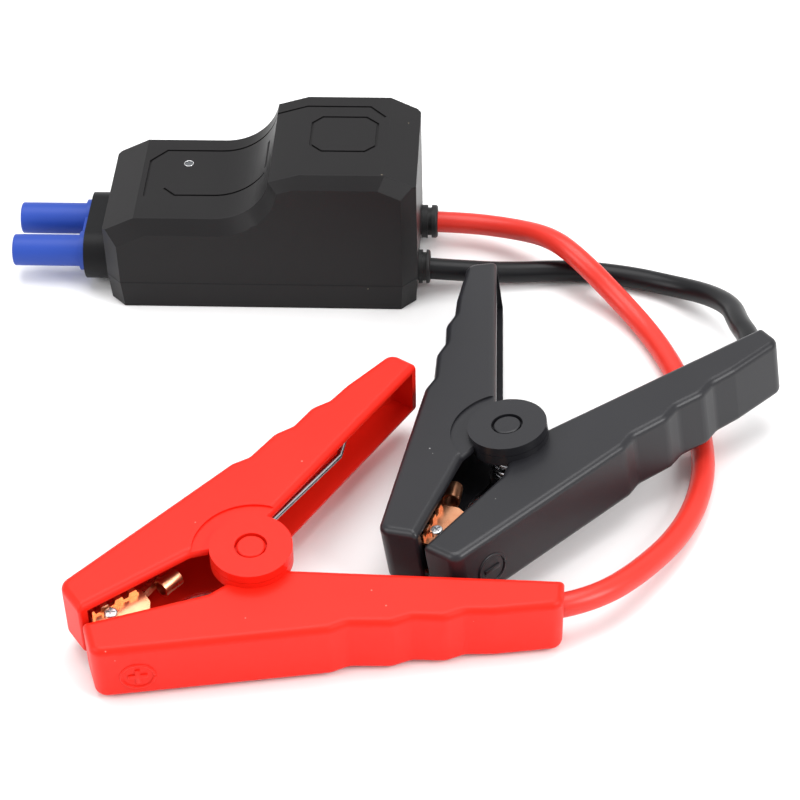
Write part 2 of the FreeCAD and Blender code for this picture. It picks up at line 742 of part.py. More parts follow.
def rounded_body(corners, low, high):
    """Lever blank with its outer rim rounded; the rim towards the other lever stays sharp."""
    blank = rounded_prism(corners, low, high)
    sharp = []
    for i in range(len(corners)):
        if i not in OUTER_SIDES:
            a, b = corners[i], corners[(i + 1) % len(corners)]
            sharp.append(Part.LineSegment(V(a[0], a[1], 0), V(b[0], b[1], 0)).toShape())
    rim = []
    for edge in blank.Edges:
        middle = edge.valueAt((edge.FirstParameter + edge.LastParameter) / 2)
        level = abs(edge.tangentAt(edge.FirstParameter).z) < 0.01
        flat = V(middle.x, middle.y, 0)
        near = min(Part.Vertex(flat).distToShape(s)[0] for s in sharp)
        if level and near > SHARP_REACH:
            rim.append(edge)
    return blank.makeFillet(EDGE_ROUND, rim)


def channel_room(corners, low, high):
    """Hollow of a lever, open towards the other lever."""
    steps = [LEVER_WALL if i in OUTER_SIDES else -CHANNEL_OVER for i in range(len(corners))]
    return rounded_prism(offset_corners(corners, steps), low + LEVER_WALL, high - LEVER_WALL)


def supports(with_cable, corners, low, high):
    """Rib under the spring's leg and the arm that carries the jaw plate."""
    leg_w = LEG_W_CABLE if with_cable else LEG_W_FREE
    outside = NOSE_CORNER[1]
    rib = block((LEG_U - RIB_THICK / 2, outside, low),
                (LEG_U + RIB_THICK / 2, LEG_V - WIRE_D / 2, leg_w + RIB_LIP))
    arm_to = (JAW_SCREW_U + ARM_HALF, JAW_SCREW_V + ARM_PAST_SCREW, JAW_TOP - JAW_THICK)
    arm = block((JAW_SCREW_U - ARM_HALF, outside, ARM_LOW), arm_to)
    root = offset_corners(corners, [RIB_ROOT] * len(corners))
    room = rounded_prism(root, low + ROOM_ROOT, high - ROOM_ROOT)
    out = arm.common(block((JAW_SCREW_U - ARM_HALF, ARM_OUT_V, ARM_LOW), arm_to))
    return [rib.common(room), fuse([arm.common(room), out])]


def lever(with_cable):
    """One moulding: channel, two ears, spring rib, jaw arm and, for a cable, a tail notch."""
    corners = lever_corners()
    low, high = lever_levels()
    out_low, out_high, in_low, in_high = ear_levels()
    body = rounded_body(corners, low, high).cut(channel_room(corners, low, high))
    swept = EAR_R + EAR_CLEAR
    body = body.cut(cylinder(swept, out_high, out_high + INNER_EAR + 2 * EAR_GAP))
    recess = cylinder(RECESS_R, low - OVER, low + RECESS_DEEP)
    body = body.cut(recess.cut(cylinder(EAR_R, low - 2 * OVER, low + OVER)))
    outer_ear = cylinder(EAR_R, out_low, out_high)
    inner_ear = cylinder(EAR_R, in_low, in_high)
    body = fuse([body, outer_ear, inner_ear] + supports(with_cable, corners, low, high))
    body = body.cut(cylinder(SPRING_OD / 2 + SPRING_CLEAR, out_high, in_low))
    body = body.cut(cylinder(JAW_SCREW_D / 2, -OVER, JAW_TOP, JAW_SCREW_U, JAW_SCREW_V))
    if with_cable:
        middle = (low + high) / 2
        radius = LEAD_D / 2 + NOTCH_CLEAR
        start, stop = TAIL_INNER[0] - NOTCH_LONG, TAIL_INNER[0] + OVER
        notch = cylinder_x(radius, start, stop, NOTCH_V, middle)
        mouth = block((start, NOTCH_V, middle - radius), (stop, 0, middle + radius))
        body = body.cut(fuse([notch, mouth]))
    return body


def pin_bores(clear, head_clear):
    """Hole for the pivot pin through both ears, with a sink for the pin's head."""
    out_low, _, _, in_high = ear_levels()
    bore = cylinder(PIN_D / 2 + clear, out_low - OVER, in_high + OVER)
    sink = PIN_HEAD_HIGH + PIN_SINK + head_clear
    head = cylinder(PIN_HEAD_D / 2 + HEAD_RING, out_low - OVER, out_low + sink)
    return fuse([bore, head])


def pivot_pin():
    """Pin with a low head at each end, pressed into the cable lever's ears."""
    top = CLAMP_THICK / 2 - PIN_SINK
    shank = cylinder(PIN_D / 2, -top, top)
    heads = [cylinder(PIN_HEAD_D / 2, top - PIN_HEAD_HIGH, top),
             cylinder(PIN_HEAD_D / 2, -top, PIN_HEAD_HIGH - top)]
    eased = []
    for head, face in zip(heads, (top, -top)):
        rim = [e for e in head.Edges if e.Closed and abs(e.CenterOfMass.z - face) < 0.01]
        eased.append(head.makeFillet(PIN_ROUND, rim))
    return fuse([shank] + eased)


# Springs

def biarc(start, start_way, stop, stop_way):
    """Two tangent arcs in space that leave start one way and reach stop another way."""
    gap = stop - start
    ways = start_way + stop_way
    a = 2 * (start_way.dot(stop_way) - 1)
    b = -2 * gap.dot(ways)
    c = gap.dot(gap)
    reach = c / (-b) if abs(a) < 1e-9 else (-b - math.sqrt(b * b - 4 * a * c)) / (2 * a)
    near, far = start + start_way * reach, stop - stop_way * reach
    join = (near + far) * 0.5
    arcs = []
    for first, corner, last in ((start, near, join), (join, far, stop)):
        chord = (first + last) * 0.5
        lift = corner - chord
        half = math.atan2(lift.Length, (last - first).Length / 2)
        rise = (last - first).Length / 2 * math.tan(half / 2)
        arcs.append(Part.Arc(first, chord + V(lift).normalize() * rise, last).toShape())
    return arcs


def spring_ends():
    """The two leg tips, in the cable lever's frame."""
    cable_tip = V(LEG_U, LEG_V, LEG_W_CABLE)
    turn = math.radians(OPEN_ANGLE)
    flipped = V(LEG_U, -LEG_V, -LEG_W_FREE)
    free_tip = V(flipped.x * math.cos(turn) - flipped.y * math.sin(turn),
                 flipped.x * math.sin(turn) + flipped.y * math.cos(turn), flipped.z)
    return free_tip, cable_tip


def tangent_angle(tip, radius, side):
    """Angle round the coil at which a straight leg to the tip leaves it."""
    reach = math.hypot(tip.x, tip.y)
    return math.atan2(tip.y, tip.x) + side * math.acos(radius / reach)


def torsion_spring(name):
    """Coil round the pin with one leg into each lever, as one unbroken tube."""
    free_tip, cable_tip = spring_ends()
    radius = (SPRING_OD - WIRE_D) / 2
    first = tangent_angle(free_tip, radius, 1)
    last = tangent_angle(cable_tip, radius, -1) + 2 * math.pi
    turns = WHOLE_TURNS + (last - first) / (2 * math.pi)
    pieces = round(turns * 4)
    top = turns * SPRING_PITCH / 2
    points = []
    ways = []
    for i in range(pieces + 1):
        share = i / pieces
        angle = first + share * turns * 2 * math.pi
        points.append(V(radius * math.cos(angle), radius * math.sin(angle), top - share * 2 * top))
        slope = -SPRING_PITCH / (2 * math.pi * radius)
        ways.append(V(-math.sin(angle), math.cos(angle), slope).normalize())
    ways[0] = (points[0] - free_tip).normalize()
    ways[-1] = (cable_tip - points[-1]).normalize()
    edges = [Part.LineSegment(free_tip, points[0]).toShape()]
    for i in range(pieces):
        edges += biarc(points[i], ways[i], points[i + 1], ways[i + 1])
    edges.append(Part.LineSegment(points[-1], cable_tip).toShape())
    print(name, "turns", round(turns, 2), "least gap to itself", round(self_gap(edges), 2))
    return tube(Part.Wire(edges), WIRE_D, name)


def self_gap(edges):
    """Least surface gap between stretches of the wire more than half a turn apart."""
    samples = []
    run = 0.0
    for edge in edges:
        count = max(2, int(edge.Length / 0.8))
        for k in range(count):
            t = edge.FirstParameter + (edge.LastParameter - edge.FirstParameter) * k / count
            samples.append((run + edge.Length * k / count, edge.valueAt(t)))
        run += edge.Length
    apart = math.pi * (SPRING_OD - WIRE_D) / 2
    least = 1e9
    for i, (s, p) in enumerate(samples):
        for r, q in samples[i + 1:]:
            if r - s > apart:
                least = min(least, (p - q).Length)
    return least - WIRE_D


# Copper jaws

def other_jaw_edge():
    """Ends of the other lever's plastic jaw edge, nose then root."""
    angle = math.radians(OPEN_ANGLE)
    c, s = math.cos(angle), math.sin(angle)
    return [V(u * c + v * s, u * s - v * c, 0) for u, v, _ in (JAW_NOSE, JAW_ROOT)]


def copper_jaw():
    """Stamped plate with a toothed lip, a tongue and a rolled crimp barrel."""
    nose, root = other_jaw_edge()
    along = (root - nose).normalize()
    across = V(-along.y, along.x, 0)
    tip = nose + along * PLATE_TIP + across * (PLATE_SET_BACK * PLATE_TIP_SHARE)
    heel = root + along * PLATE_HEEL + across * PLATE_SET_BACK
    low = JAW_TOP - JAW_THICK
    edge = [(heel.x, heel.y, PLATE_ROUNDS[0]), (tip.x, tip.y, PLATE_ROUNDS[1])]
    plate = rounded_prism(PLATE_BACK + edge, low, JAW_TOP)
    lip = toothed_lip((heel - tip).Length - LIP_SHORT, low)
    lip.rotate(V(0, 0, 0), V(0, 0, 1), math.degrees(math.atan2(along.y, along.x)))
    lip.translate(tip + along * LIP_START)
    mouth, axis = crimp_frame()
    barrel = Part.makeCylinder(CRIMP_D / 2, CRIMP_LONG, mouth - axis * CRIMP_LONG, axis)
    hole = Part.makeCylinder(CONDUCTOR_D / 2, CRIMP_LONG + 2 * OVER,
                             mouth - axis * (CRIMP_LONG + OVER), axis)
    jaw = fuse([plate, lip, barrel] + strap_to_crimp(mouth, axis)).cut(hole)
    screw = cylinder(JAW_SCREW_D / 2 + JAW_SCREW_CLEAR, low - OVER, JAW_TOP + OVER,
                     JAW_SCREW_U, JAW_SCREW_V)
    return jaw.cut(screw)


def toothed_lip(length, low):
    """Upright strip along X with gaps cut from its top; what is left are the teeth."""
    lip = Part.makeBox(length, JAW_THICK, LIP_HIGH + JAW_THICK, V(0, -JAW_THICK, low))
    top = JAW_TOP + LIP_HIGH + OVER / 10
    floor = JAW_TOP + LIP_HIGH - TOOTH_DEEP
    for i in range(int(length / TOOTH_PITCH) + 1):
        x = i * TOOTH_PITCH + TOOTH_START
        corners = [(x, top), (x + TOOTH_MOUTH * TOOTH_PITCH, top),
                   (x + TOOTH_FLOOR[1] * TOOTH_PITCH, floor),
                   (x + TOOTH_FLOOR[0] * TOOTH_PITCH, floor), (x, top)]
        gap = Part.makePolygon([V(u, -JAW_THICK - OVER, w) for u, w in corners])
        lip = lip.cut(Part.Face(gap).extrude(V(0, JAW_THICK + 2 * OVER, 0)))
    return lip


def strap_to_crimp(mouth, axis):
    """Strip that goes down from the plate and along to the crimp barrel."""
    back = mouth - axis * (CRIMP_LONG - STRAP_BITE)
    low = (STRAP_U, back.y - STRAP_DROP - JAW_THICK, BARREL_W - STRAP_WIDE / 2)
    high_y = back.y - STRAP_DROP + STRAP_BITE
    strap = block(low, (back.x + STRAP_REACH, high_y, BARREL_W + STRAP_WIDE / 2))
    riser = block(low, (STRAP_U + STRAP_RISER, high_y, JAW_TOP - STRAP_TOP))
    return [strap, riser]


def jaw_screw():
    """Pan-head screw that holds the jaw plate on the lever's arm."""
    head = cylinder(JAW_SCREW_HEAD_D / 2, JAW_TOP, JAW_TOP + JAW_SCREW_HEAD, JAW_SCREW_U, JAW_SCREW_V)
    rim = [e for e in head.Edges if e.Closed and e.CenterOfMass.z > JAW_TOP + JAW_SCREW_HEAD - 0.01]
    head = head.makeFillet(JAW_SCREW_ROUND, rim)
    for turn in (0, 90):
        slot = block((-CROSS_LONG / 2, -CROSS_WIDE / 2, JAW_TOP + CROSS_FLOOR),
                     (CROSS_LONG / 2, CROSS_WIDE / 2, JAW_TOP + JAW_SCREW_HEAD + OVER))
        slot.rotate(V(0, 0, 0), V(0, 0, 1), turn)
        slot.translate(V(JAW_SCREW_U, JAW_SCREW_V, 0))
        head = head.cut(slot)
    shank = cylinder(JAW_SCREW_D / 2, JAW_TOP - JAW_SCREW_LONG, JAW_TOP, JAW_SCREW_U, JAW_SCREW_V)
    return fuse([head, shank])


# Placing the clamps and running the leads

def clamp_placement(pivot, face, heading, height):
    """Placement of the pivot's mid-height frame: U along the heading, W along the face."""
    up = V(*face).normalize()
    level = V(math.cos(math.radians(heading)), math.sin(math.radians(heading)), 0)
    along = (level - up * level.dot(up)).normalize()
    rotation = FreeCAD.Rotation(along, up.cross(along), up, "ZXY")
    return FreeCAD.Placement(V(pivot[0], pivot[1], height), rotation)


def free_placement(base):
    """Placement of the free lever: the same moulding turned over and swung open."""
    flip = FreeCAD.Rotation(V(1, 0, 0), 180)
    swing = FreeCAD.Rotation(V(0, 0, 1), OPEN_ANGLE)
    return base.multiply(FreeCAD.Placement(V(0, 0, 0), swing.multiply(flip)))


def placed(shape, placement):
    """Copy of a shape moved by a placement."""
    copy = shape.copy()
    copy.Placement = placement.multiply(copy.Placement)
    return copy


def lowest_point(shapes):
    """Lowest height that any of the shapes reaches."""
    return min(p.z for s in shapes for p in s.tessellate(0.05)[0])


def crimp_frame():
    """Mouth of the crimp barrel and the way the conductor leaves it."""
    turn = math.radians(CRIMP_TURN)
    axis = V(math.cos(turn), math.sin(turn), 0)
    return V(BARREL_U, BARREL_V, BARREL_W) + axis * (CRIMP_LONG / 2), axis


def conductor():
    """Bare strands between the lead's end and the crimp barrel."""
    mouth, axis = crimp_frame()
    long = CRIMP_LONG + BARE_LONG
    return Part.makeCylinder(CONDUCTOR_D / 2, long, mouth - axis * CRIMP_LONG, axis)


def lead_in_lever(tail):
    """Route of a lead inside its lever, from the tail to the crimp barrel."""
    mouth, axis = crimp_frame()
    stop = mouth + axis * BARE_LONG
    low, high = lever_levels()
    middle = (low + high) / 2
    inside = [V(u, v, middle - drop) for u, v, drop in tail + LEVER_ROUTE]
    return inside + [stop + axis * LAST_RUN, stop]


def clamp_parts(name, pivot, face, heading):
    """All pieces of one clamp, in place, and the placement of its cable lever."""
    cable_side = lever(True).cut(pin_bores(0.0, 0.0))
    free_side = lever(False).cut(pin_bores(PIN_CLEAR, HEAD_CLEAR))
    trial = clamp_placement(pivot, face, heading, 0)
    pair = [placed(cable_side, trial), placed(free_side, free_placement(trial))]
    base = clamp_placement(pivot, face, heading, -lowest_point(pair))
    free = free_placement(base)
    pieces = {
        name + "_cable_lever": placed(cable_side, base),
        name + "_free_lever": placed(free_side, free),
        name + "_pivot_pin": placed(pivot_pin(), base),
        name + "_spring": placed(torsion_spring(name + "_spring"), base),
        name + "_cable_jaw": placed(copper_jaw(), base),
        name + "_free_jaw": placed(copper_jaw(), free),
        name + "_cable_jaw_screw": placed(jaw_screw(), base),
        name + "_free_jaw_screw": placed(jaw_screw(), free),
        name + "_conductor": placed(conductor(), base),
    }
    return pieces, base


def lead(name, side, route, base, tail):
    """One lead: out of its grommet, over the floor and into its clamp's cable lever."""
    start = BOX_LONG / 2 - LEAD_INSIDE
    points = [V(start, side * LEAD_Y, LEAD_Z)] + [V(*p) for p in route]
    points += [base.multVec(p) for p in lead_in_lever(tail)]
    return tube(tangent_path(points, LEAD_D, name), LEAD_D, name)


def build():
    """Every node of the object by name."""
    nodes = {
        "upper_housing": upper_housing(),
        "base_cover": base_cover(),
        "housing_screws": housing_screws(),
        "circuit_board": circuit_board(),
        "relay": relay(),
        "status_led": status_led(),
        "light_pipe": light_pipe(),
        "plug_shell": plug_shell(),
        "plug_collar": plug_collar(),
        "plug_contacts": plug_contacts(),
        "lead_terminals": lead_terminals(),
        "red_grommet": grommet(1, RED_STAND_OFF),
        "black_grommet": grommet(-1, 0.0),
    }
    red, red_base = clamp_parts("red", RED_PIVOT, RED_FACE, RED_HEADING)
    black, black_base = clamp_parts("black", BLACK_PIVOT, BLACK_FACE, BLACK_HEADING)
    nodes.update(red)
    nodes.update(black)
    nodes["red_lead"] = lead("red_lead", 1, RED_ROUTE, red_base, RED_TAIL)
    nodes["black_lead"] = lead("black_lead", -1, BLACK_ROUTE, black_base, BLACK_TAIL)
    for name, base in (("red", red_base), ("black", black_base)):
        print(name, "pivot", [round(c, 3) for c in base.Base],
              "axis", [round(c, 5) for c in base.Rotation.multVec(V(0, 0, 1))])
    return nodes


os.makedirs("parts", exist_ok=True)
for node, shape in build().items():
    print(node, "solids", len(shape.Solids), "valid", shape.isValid(), "volume", round(shape.Volume, 1))
    shape.exportStep("parts/" + node + ".step")
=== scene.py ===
# %% [markdown]
# # A jumper clamp lead, dressed for its portrait
# The object is a black control box with a blue two-pole plug, two flexible leads and two
# sprung battery clamps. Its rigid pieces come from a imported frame, at their real size and in
# metres. This script gives every piece its finish, and makes anew what a plain rigid model
# can't show well: the leads, which bend, the springs, whose legs follow two levers, and the
# fine moulded lines of the box.

# %% Tools and the frame
import json
import math

import bmesh
import bpy
import numpy as np
from mathutils import Matrix, Vector


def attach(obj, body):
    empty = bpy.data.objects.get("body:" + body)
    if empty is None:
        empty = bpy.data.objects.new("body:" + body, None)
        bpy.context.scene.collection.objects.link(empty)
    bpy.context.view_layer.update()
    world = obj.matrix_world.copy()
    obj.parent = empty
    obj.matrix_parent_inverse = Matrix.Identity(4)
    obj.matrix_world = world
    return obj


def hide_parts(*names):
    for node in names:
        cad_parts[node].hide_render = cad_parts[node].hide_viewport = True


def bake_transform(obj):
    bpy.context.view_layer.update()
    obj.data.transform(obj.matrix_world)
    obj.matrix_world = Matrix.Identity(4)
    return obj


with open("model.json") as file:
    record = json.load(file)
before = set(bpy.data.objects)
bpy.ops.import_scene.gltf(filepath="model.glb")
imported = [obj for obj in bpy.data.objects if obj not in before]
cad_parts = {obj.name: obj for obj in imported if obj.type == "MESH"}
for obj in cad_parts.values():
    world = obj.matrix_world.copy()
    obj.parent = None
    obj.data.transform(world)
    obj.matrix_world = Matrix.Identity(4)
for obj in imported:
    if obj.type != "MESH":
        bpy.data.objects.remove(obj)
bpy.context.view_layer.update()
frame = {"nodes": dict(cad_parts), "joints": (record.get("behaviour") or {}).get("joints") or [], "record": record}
MM = 0.001

# %% [markdown]
# ## The camera
# The portrait was taken from the front and above, from some way off with a long lens. The
# camera's place and its three axes were worked out from the box's straight edges, so they are
# written as one point and three directions. A 36 mm sensor and a 108 mm lens give the narrow
# view. The whole object is sharp, so there is no depth of field.

# %% Camera
EYE = (0.076579, -0.578094, 0.464310)
RIGHT = (0.99872928, 0.04621416, -0.02010155)
UP = (-0.01601586, 0.66924086, 0.74287291)
AHEAD = (-0.04778403, 0.74160698, -0.66913061)
SENSOR_MM = 36.0
LENS_MM = 108.0

camera_data = bpy.data.cameras.new("portrait_camera")
camera_data.sensor_width = SENSOR_MM
camera_data.lens = LENS_MM
camera = bpy.data.objects.new("portrait_camera", camera_data)
bpy.context.scene.collection.objects.link(camera)
turn = Matrix([(r, u, -a) for r, u, a in zip(RIGHT, UP, AHEAD)]).to_4x4()
camera.matrix_world = Matrix.Translation(EYE) @ turn
bpy.context.scene.camera = camera
print("camera looks down by", round(math.degrees(math.asin(-AHEAD[2])), 1), "degrees")

# %% [markdown]
# ## Points and faces
# Almost everything made here is a row of rings: a tube's circles, a groove cutter's squares, a
# seam's thin band. Blender has no single tool for such rows that also gives a map along them,
# so the points are worked out as whole arrays, and one function names the faces between them.


# %% Points and faces
def put_mesh(name, points, faces, uv=None):
    """New object from an array of points and a list of faces, shaded smooth."""
    mesh = bpy.data.meshes.new(name)
    mesh.from_pydata(points.tolist(), [], faces)
    mesh.validate()
    mesh.polygons.foreach_set("use_smooth", np.ones(len(mesh.polygons), dtype=bool))
    if uv is not None:
        layer = mesh.uv_layers.new(name="UVMap")
        loops = np.zeros(len(mesh.loops), dtype=np.int32)
        mesh.loops.foreach_get("vertex_index", loops)
        layer.data.foreach_set("uv", uv[loops].astype(np.float32).ravel())
    piece = bpy.data.objects.new(name, mesh)
    bpy.context.scene.collection.objects.link(piece)
    return piece


def skin(rings, sides, joined=False):
    """Four-sided faces of a row of rings: each joins ring i and ring i + 1, side j and j + 1.

    The point at place j of ring i has number i * sides + j. Every ring closes on itself, and
    a joined row closes too: its last ring meets its first.
    """
    i, j = np.meshgrid(np.arange(rings if joined else rings - 1), np.arange(sides), indexing="ij")
    n, k = (i + 1) % rings, (j + 1) % sides
    corners = [i * sides + j, i * sides + k, n * sides + k, n * sides + j]
    return np.stack(corners, -1).reshape(-1, 4).tolist()


print("a square tube of 3 rings has", len(skin(3, 4)), "walls")

# %% [markdown]
# ## A tube along a line
# Leads and spring wire are both round tubes. A curve with a round bevel would draw them too,
# but a grid gives its own map along the length, which the sheath's finish needs. A tube is a
# ring of points carried along a line of centres. The ring must not twist as it goes, so each
# ring's first direction is the last one's, with the part along the new direction taken away.


# %% Tubes
def ring_frames(centres):
    """Two directions square to the line at each centre, carried along it without twist."""
    along = np.gradient(centres, axis=0)
    along /= np.linalg.norm(along, axis=1)[:, None]
    first = np.zeros_like(centres)
    side = np.array([0.0, 0.0, 1.0]) if abs(along[0, 2]) < 0.9 else np.array([1.0, 0.0, 0.0])
    for i, way in enumerate(along):
        side = side - way * (side @ way)
        side /= np.linalg.norm(side)
        first[i] = side
    return first, np.cross(along, first)


def tube(name, centres, radius, sides):
    """Closed round tube: centre + radius * (first * cos(angle) + second * sin(angle)).

    Its map holds the length along the line and the way round from the side opposite to first,
    the same to the left and to the right, so that the map has no seam. Both are in metres. A
    fan of triangles closes each end.
    """
    first, second = ring_frames(centres)
    angle = np.linspace(0, 2 * math.pi, sides, endpoint=False)
    round_part = (first[:, None] * np.cos(angle)[None, :, None]
                  + second[:, None] * np.sin(angle)[None, :, None])
    grid = centres[:, None] + radius * round_part
    rings = len(centres)
    points = np.concatenate([grid.reshape(-1, 3), centres[:1], centres[-1:]])
    place = np.arange(sides)
    after = (place + 1) % sides
    hub, last = rings * sides, (rings - 1) * sides
    near = np.stack([np.full(sides, hub), after, place], -1)
    far = np.stack([np.full(sides, hub + 1), last + place, last + after], -1)
    run = np.concatenate([[0.0], np.cumsum(np.linalg.norm(np.diff(centres, axis=0), axis=1))])
    share = np.abs(place / sides - 0.5) * 2 * math.pi * radius
    uv = np.stack([np.repeat(run, sides), np.tile(share, rings)], -1)
    uv = np.concatenate([uv, [[0.0, 0.0], [run[-1], 0.0]]])
    return put_mesh(name, points, skin(rings, sides) + near.tolist() + far.tolist(), uv)


def line_length(line):
    """Sum of the steps along a line."""
    return float(np.linalg.norm(np.diff(line, axis=0), axis=1).sum())


print("tube ready")

# %% [markdown]
# ## Where the clamps lie
# Each clamp lies tilted on the floor, and its levers turn round a pin. Routes inside a clamp
# are far easier to write in the clamp's own axes: U along the lever that holds the lead, V
# across it towards the other lever, and W out of the clamp's upper face. The pin's place and
# direction come from the frame's joint, so the wires fit wherever the frame has the clamp.

# %% Clamp axes
HEADING = {"red": -1.1, "black": 31.6}
joints = {j["name"]: j for j in frame["joints"]}


def clamp_frame(colour):
    """Pivot and the axes U, V and W: W against the joint's axis, U the heading square to W."""
    joint = joints[colour + "_squeeze"]
    w = -np.array(joint["axis"], float)
    w /= np.linalg.norm(w)
    heading = math.radians(HEADING[colour])
    u = np.array([math.cos(heading), math.sin(heading), 0.0])
    u = u - w * (u @ w)
    u /= np.linalg.norm(u)
    return np.array(joint["pos_m"], float), u, np.cross(w, u), w


def in_clamp(colour, points_mm):
    """World places of points in a clamp's millimetres: pivot + a * U + b * V + c * W."""
    pivot, u, v, w = clamp_frame(colour)
    p = np.atleast_2d(np.array(points_mm, float)) * MM
    return pivot + p[:, :1] * u + p[:, 1:2] * v + p[:, 2:3] * w


for colour in HEADING:
    print(colour, "pivot", clamp_frame(colour)[0].round(4))

# %% [markdown]
# ## The leads
# Each lead is one flexible sheath, 6.5 mm thick. It leaves the box through its grommet, lies
# on the floor in a loose bow and runs inside a lever to the clamp's crimp. The red lead passes
# over the black one in a low hump, and under the black clamp's raised tail. A simulated rope
# would not fall as it did in the portrait, so the route is written as points, in millimetres,
# that lead a smooth spline from the box to the crimp.

# %% Routes
LEAD_D = 0.0065
BOX_END = 0.0469
LEAD_INSIDE = 0.007
LEAD_Y = 0.01115
LEAD_Z = 0.0075
CHANNEL_W = -1.57
CRIMP_AT = (-10.6, -15.39, -1.6)
CRIMP_BEFORE = (-1.69, -14.14, -1.6)

RED_FLOOR = [(58.0, 11.15, 7.5), (76.0, 6.0, 9.0), (87.4, -3.5, 13.0), (96.2, -13.4, 12.0),
             (105.8, -21.4, 6.0), (113.6, -31.4, 3.4), (119.6, -44.0, 3.4), (125.0, -60.0, 3.4),
             (129.3, -80.0, 3.4), (129.0, -100.0, 3.5), (122.2, -120.0, 4.4),
             (109.5, -138.6, 7.6)]
BLACK_FLOOR = [(57.0, -12.0, 6.9), (74.0, -9.8, 4.3), (92.0, -7.0, 3.5), (110.0, -9.4, 3.4),
               (124.0, -15.0, 4.2), (133.4, -22.8, 7.8), (139.6, -33.8, 12.4)]
RED_TAIL = [(88.5, -1.8, CHANNEL_W), (72.5, -7.0, CHANNEL_W), (57.0, -9.4, CHANNEL_W)]
BLACK_TAIL = [(85.0, 15.0, CHANNEL_W - 2.2), (82.0, 4.5, CHANNEL_W - 0.6),
              (74.5, -3.6, CHANNEL_W), (64.0, -7.5, CHANNEL_W), (53.5, -9.3, CHANNEL_W)]
IN_LEVER = [(42.0, -11.3, CHANNEL_W), (24.0, -14.0, CHANNEL_W), (9.0, -14.4, CHANNEL_W),
            CRIMP_BEFORE, CRIMP_AT]


def route(colour, side, floor_points, tail_points):
    """All points of a lead in metres, from inside the box to the crimp."""
    start = [(BOX_END - LEAD_INSIDE, side * LEAD_Y, LEAD_Z)]
    over_floor = (np.array(floor_points) * MM).tolist()
    return start + over_floor + in_clamp(colour, tail_points + IN_LEVER).tolist()


print("red route", len(RED_FLOOR) + len(RED_TAIL) + len(IN_LEVER) + 1, "points")


# %% [markdown]
# Blender's own curve does the smoothing. It is made for a moment, read as a line of points,
# and removed again, so that the sheath's mesh and its measured length share one line.

# %% A smooth line along a route
def spline_line(name, points):
    """Centre line of a smooth spline along a route, read from a curve with no bevel."""
    curve = bpy.data.curves.new(name, "CURVE")
    curve.dimensions = "3D"
    curve.resolution_u = 16
    spline = curve.splines.new("NURBS")
    spline.points.add(len(points) - 1)
    spline.points.foreach_set("co", np.append(points, np.ones((len(points), 1)), 1).ravel())
    spline.use_endpoint_u = True
    spline.order_u = 3
    holder = bpy.data.objects.new(name, curve)
    bpy.context.scene.collection.objects.link(holder)
    bpy.context.view_layer.update()
    mesh = bpy.data.meshes.new_from_object(holder)
    line = np.zeros(len(mesh.vertices) * 3)
    mesh.vertices.foreach_get("co", line)
    bpy.data.objects.remove(holder)
    bpy.data.meshes.remove(mesh)
    return line.reshape(-1, 3)


# %% [markdown]
# The black lead is attached to the box's body, with its clamp. The red one is left where it lies, with its place
# baked into its mesh.

# %% Sheaths
LEAD_SIDES = 28

leads = {}
for colour, side, floor_points, tail_points in (("red", 1, RED_FLOOR, RED_TAIL),
                                                ("black", -1, BLACK_FLOOR, BLACK_TAIL)):
    line = spline_line(colour + "_route", route(colour, side, floor_points, tail_points))
    piece = tube(colour + "_sheath", line, LEAD_D / 2, LEAD_SIDES)
    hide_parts(colour + "_lead")
    "lead_" + colour
    leads[colour] = piece
    print(colour, "lead", round(line_length(line), 4), "m long")

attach(leads["black"], "root")
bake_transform(leads["red"])

# %% [markdown]
# ## The springs
# A torsion spring sits round each pivot pin. One straight leg lies in the cable lever and the
# other in the free lever, so when the handles close the coil winds up. A screw modifier could
# turn the coil but not its legs, so the whole wire is one line: the coil is a helix, where
# the angle grows evenly while the height falls evenly, and the legs leave it along its
# tangents. The free leg ends in a short bend towards the lever's wall.

# %% Spring sizes
WIRE_D = 1.7
SPRING_OD = 12.4
SPRING_PITCH = 3.0
WHOLE_TURNS = 3
OPEN_ANGLE = math.radians(59.2)
LEG_U, LEG_V = 54.0, -9.0
LEG_W_FREE, LEG_W_CABLE = -1.2, -6.6
FREE_BEND_U, FREE_BEND_V = 47.0, -6.0
STEPS_PER_TURN = 40
LEG_STEPS = 12
BEND_STEPS = 5
WIRE_SIDES = 14


def leave_angle(tip, radius, side):
    """Angle at which a straight leg to the tip leaves the coil: the tip's, plus or minus the
    angle whose cosine is the coil's radius over the tip's distance."""
    return math.atan2(tip[1], tip[0]) + side * math.acos(radius / math.hypot(tip[0], tip[1]))


def from_free(u, v, w):
    """Point of the free lever's own frame, in the cable lever's: turned over and swung open."""
    c, s = math.cos(OPEN_ANGLE), math.sin(OPEN_ANGLE)
    return np.array([u * c + v * s, u * s - v * c, -w])


def straight(start, stop, count):
    """Evenly spaced points after start, up to and with stop."""
    return start + (stop - start) * np.linspace(0, 1, count + 1)[1:, None]


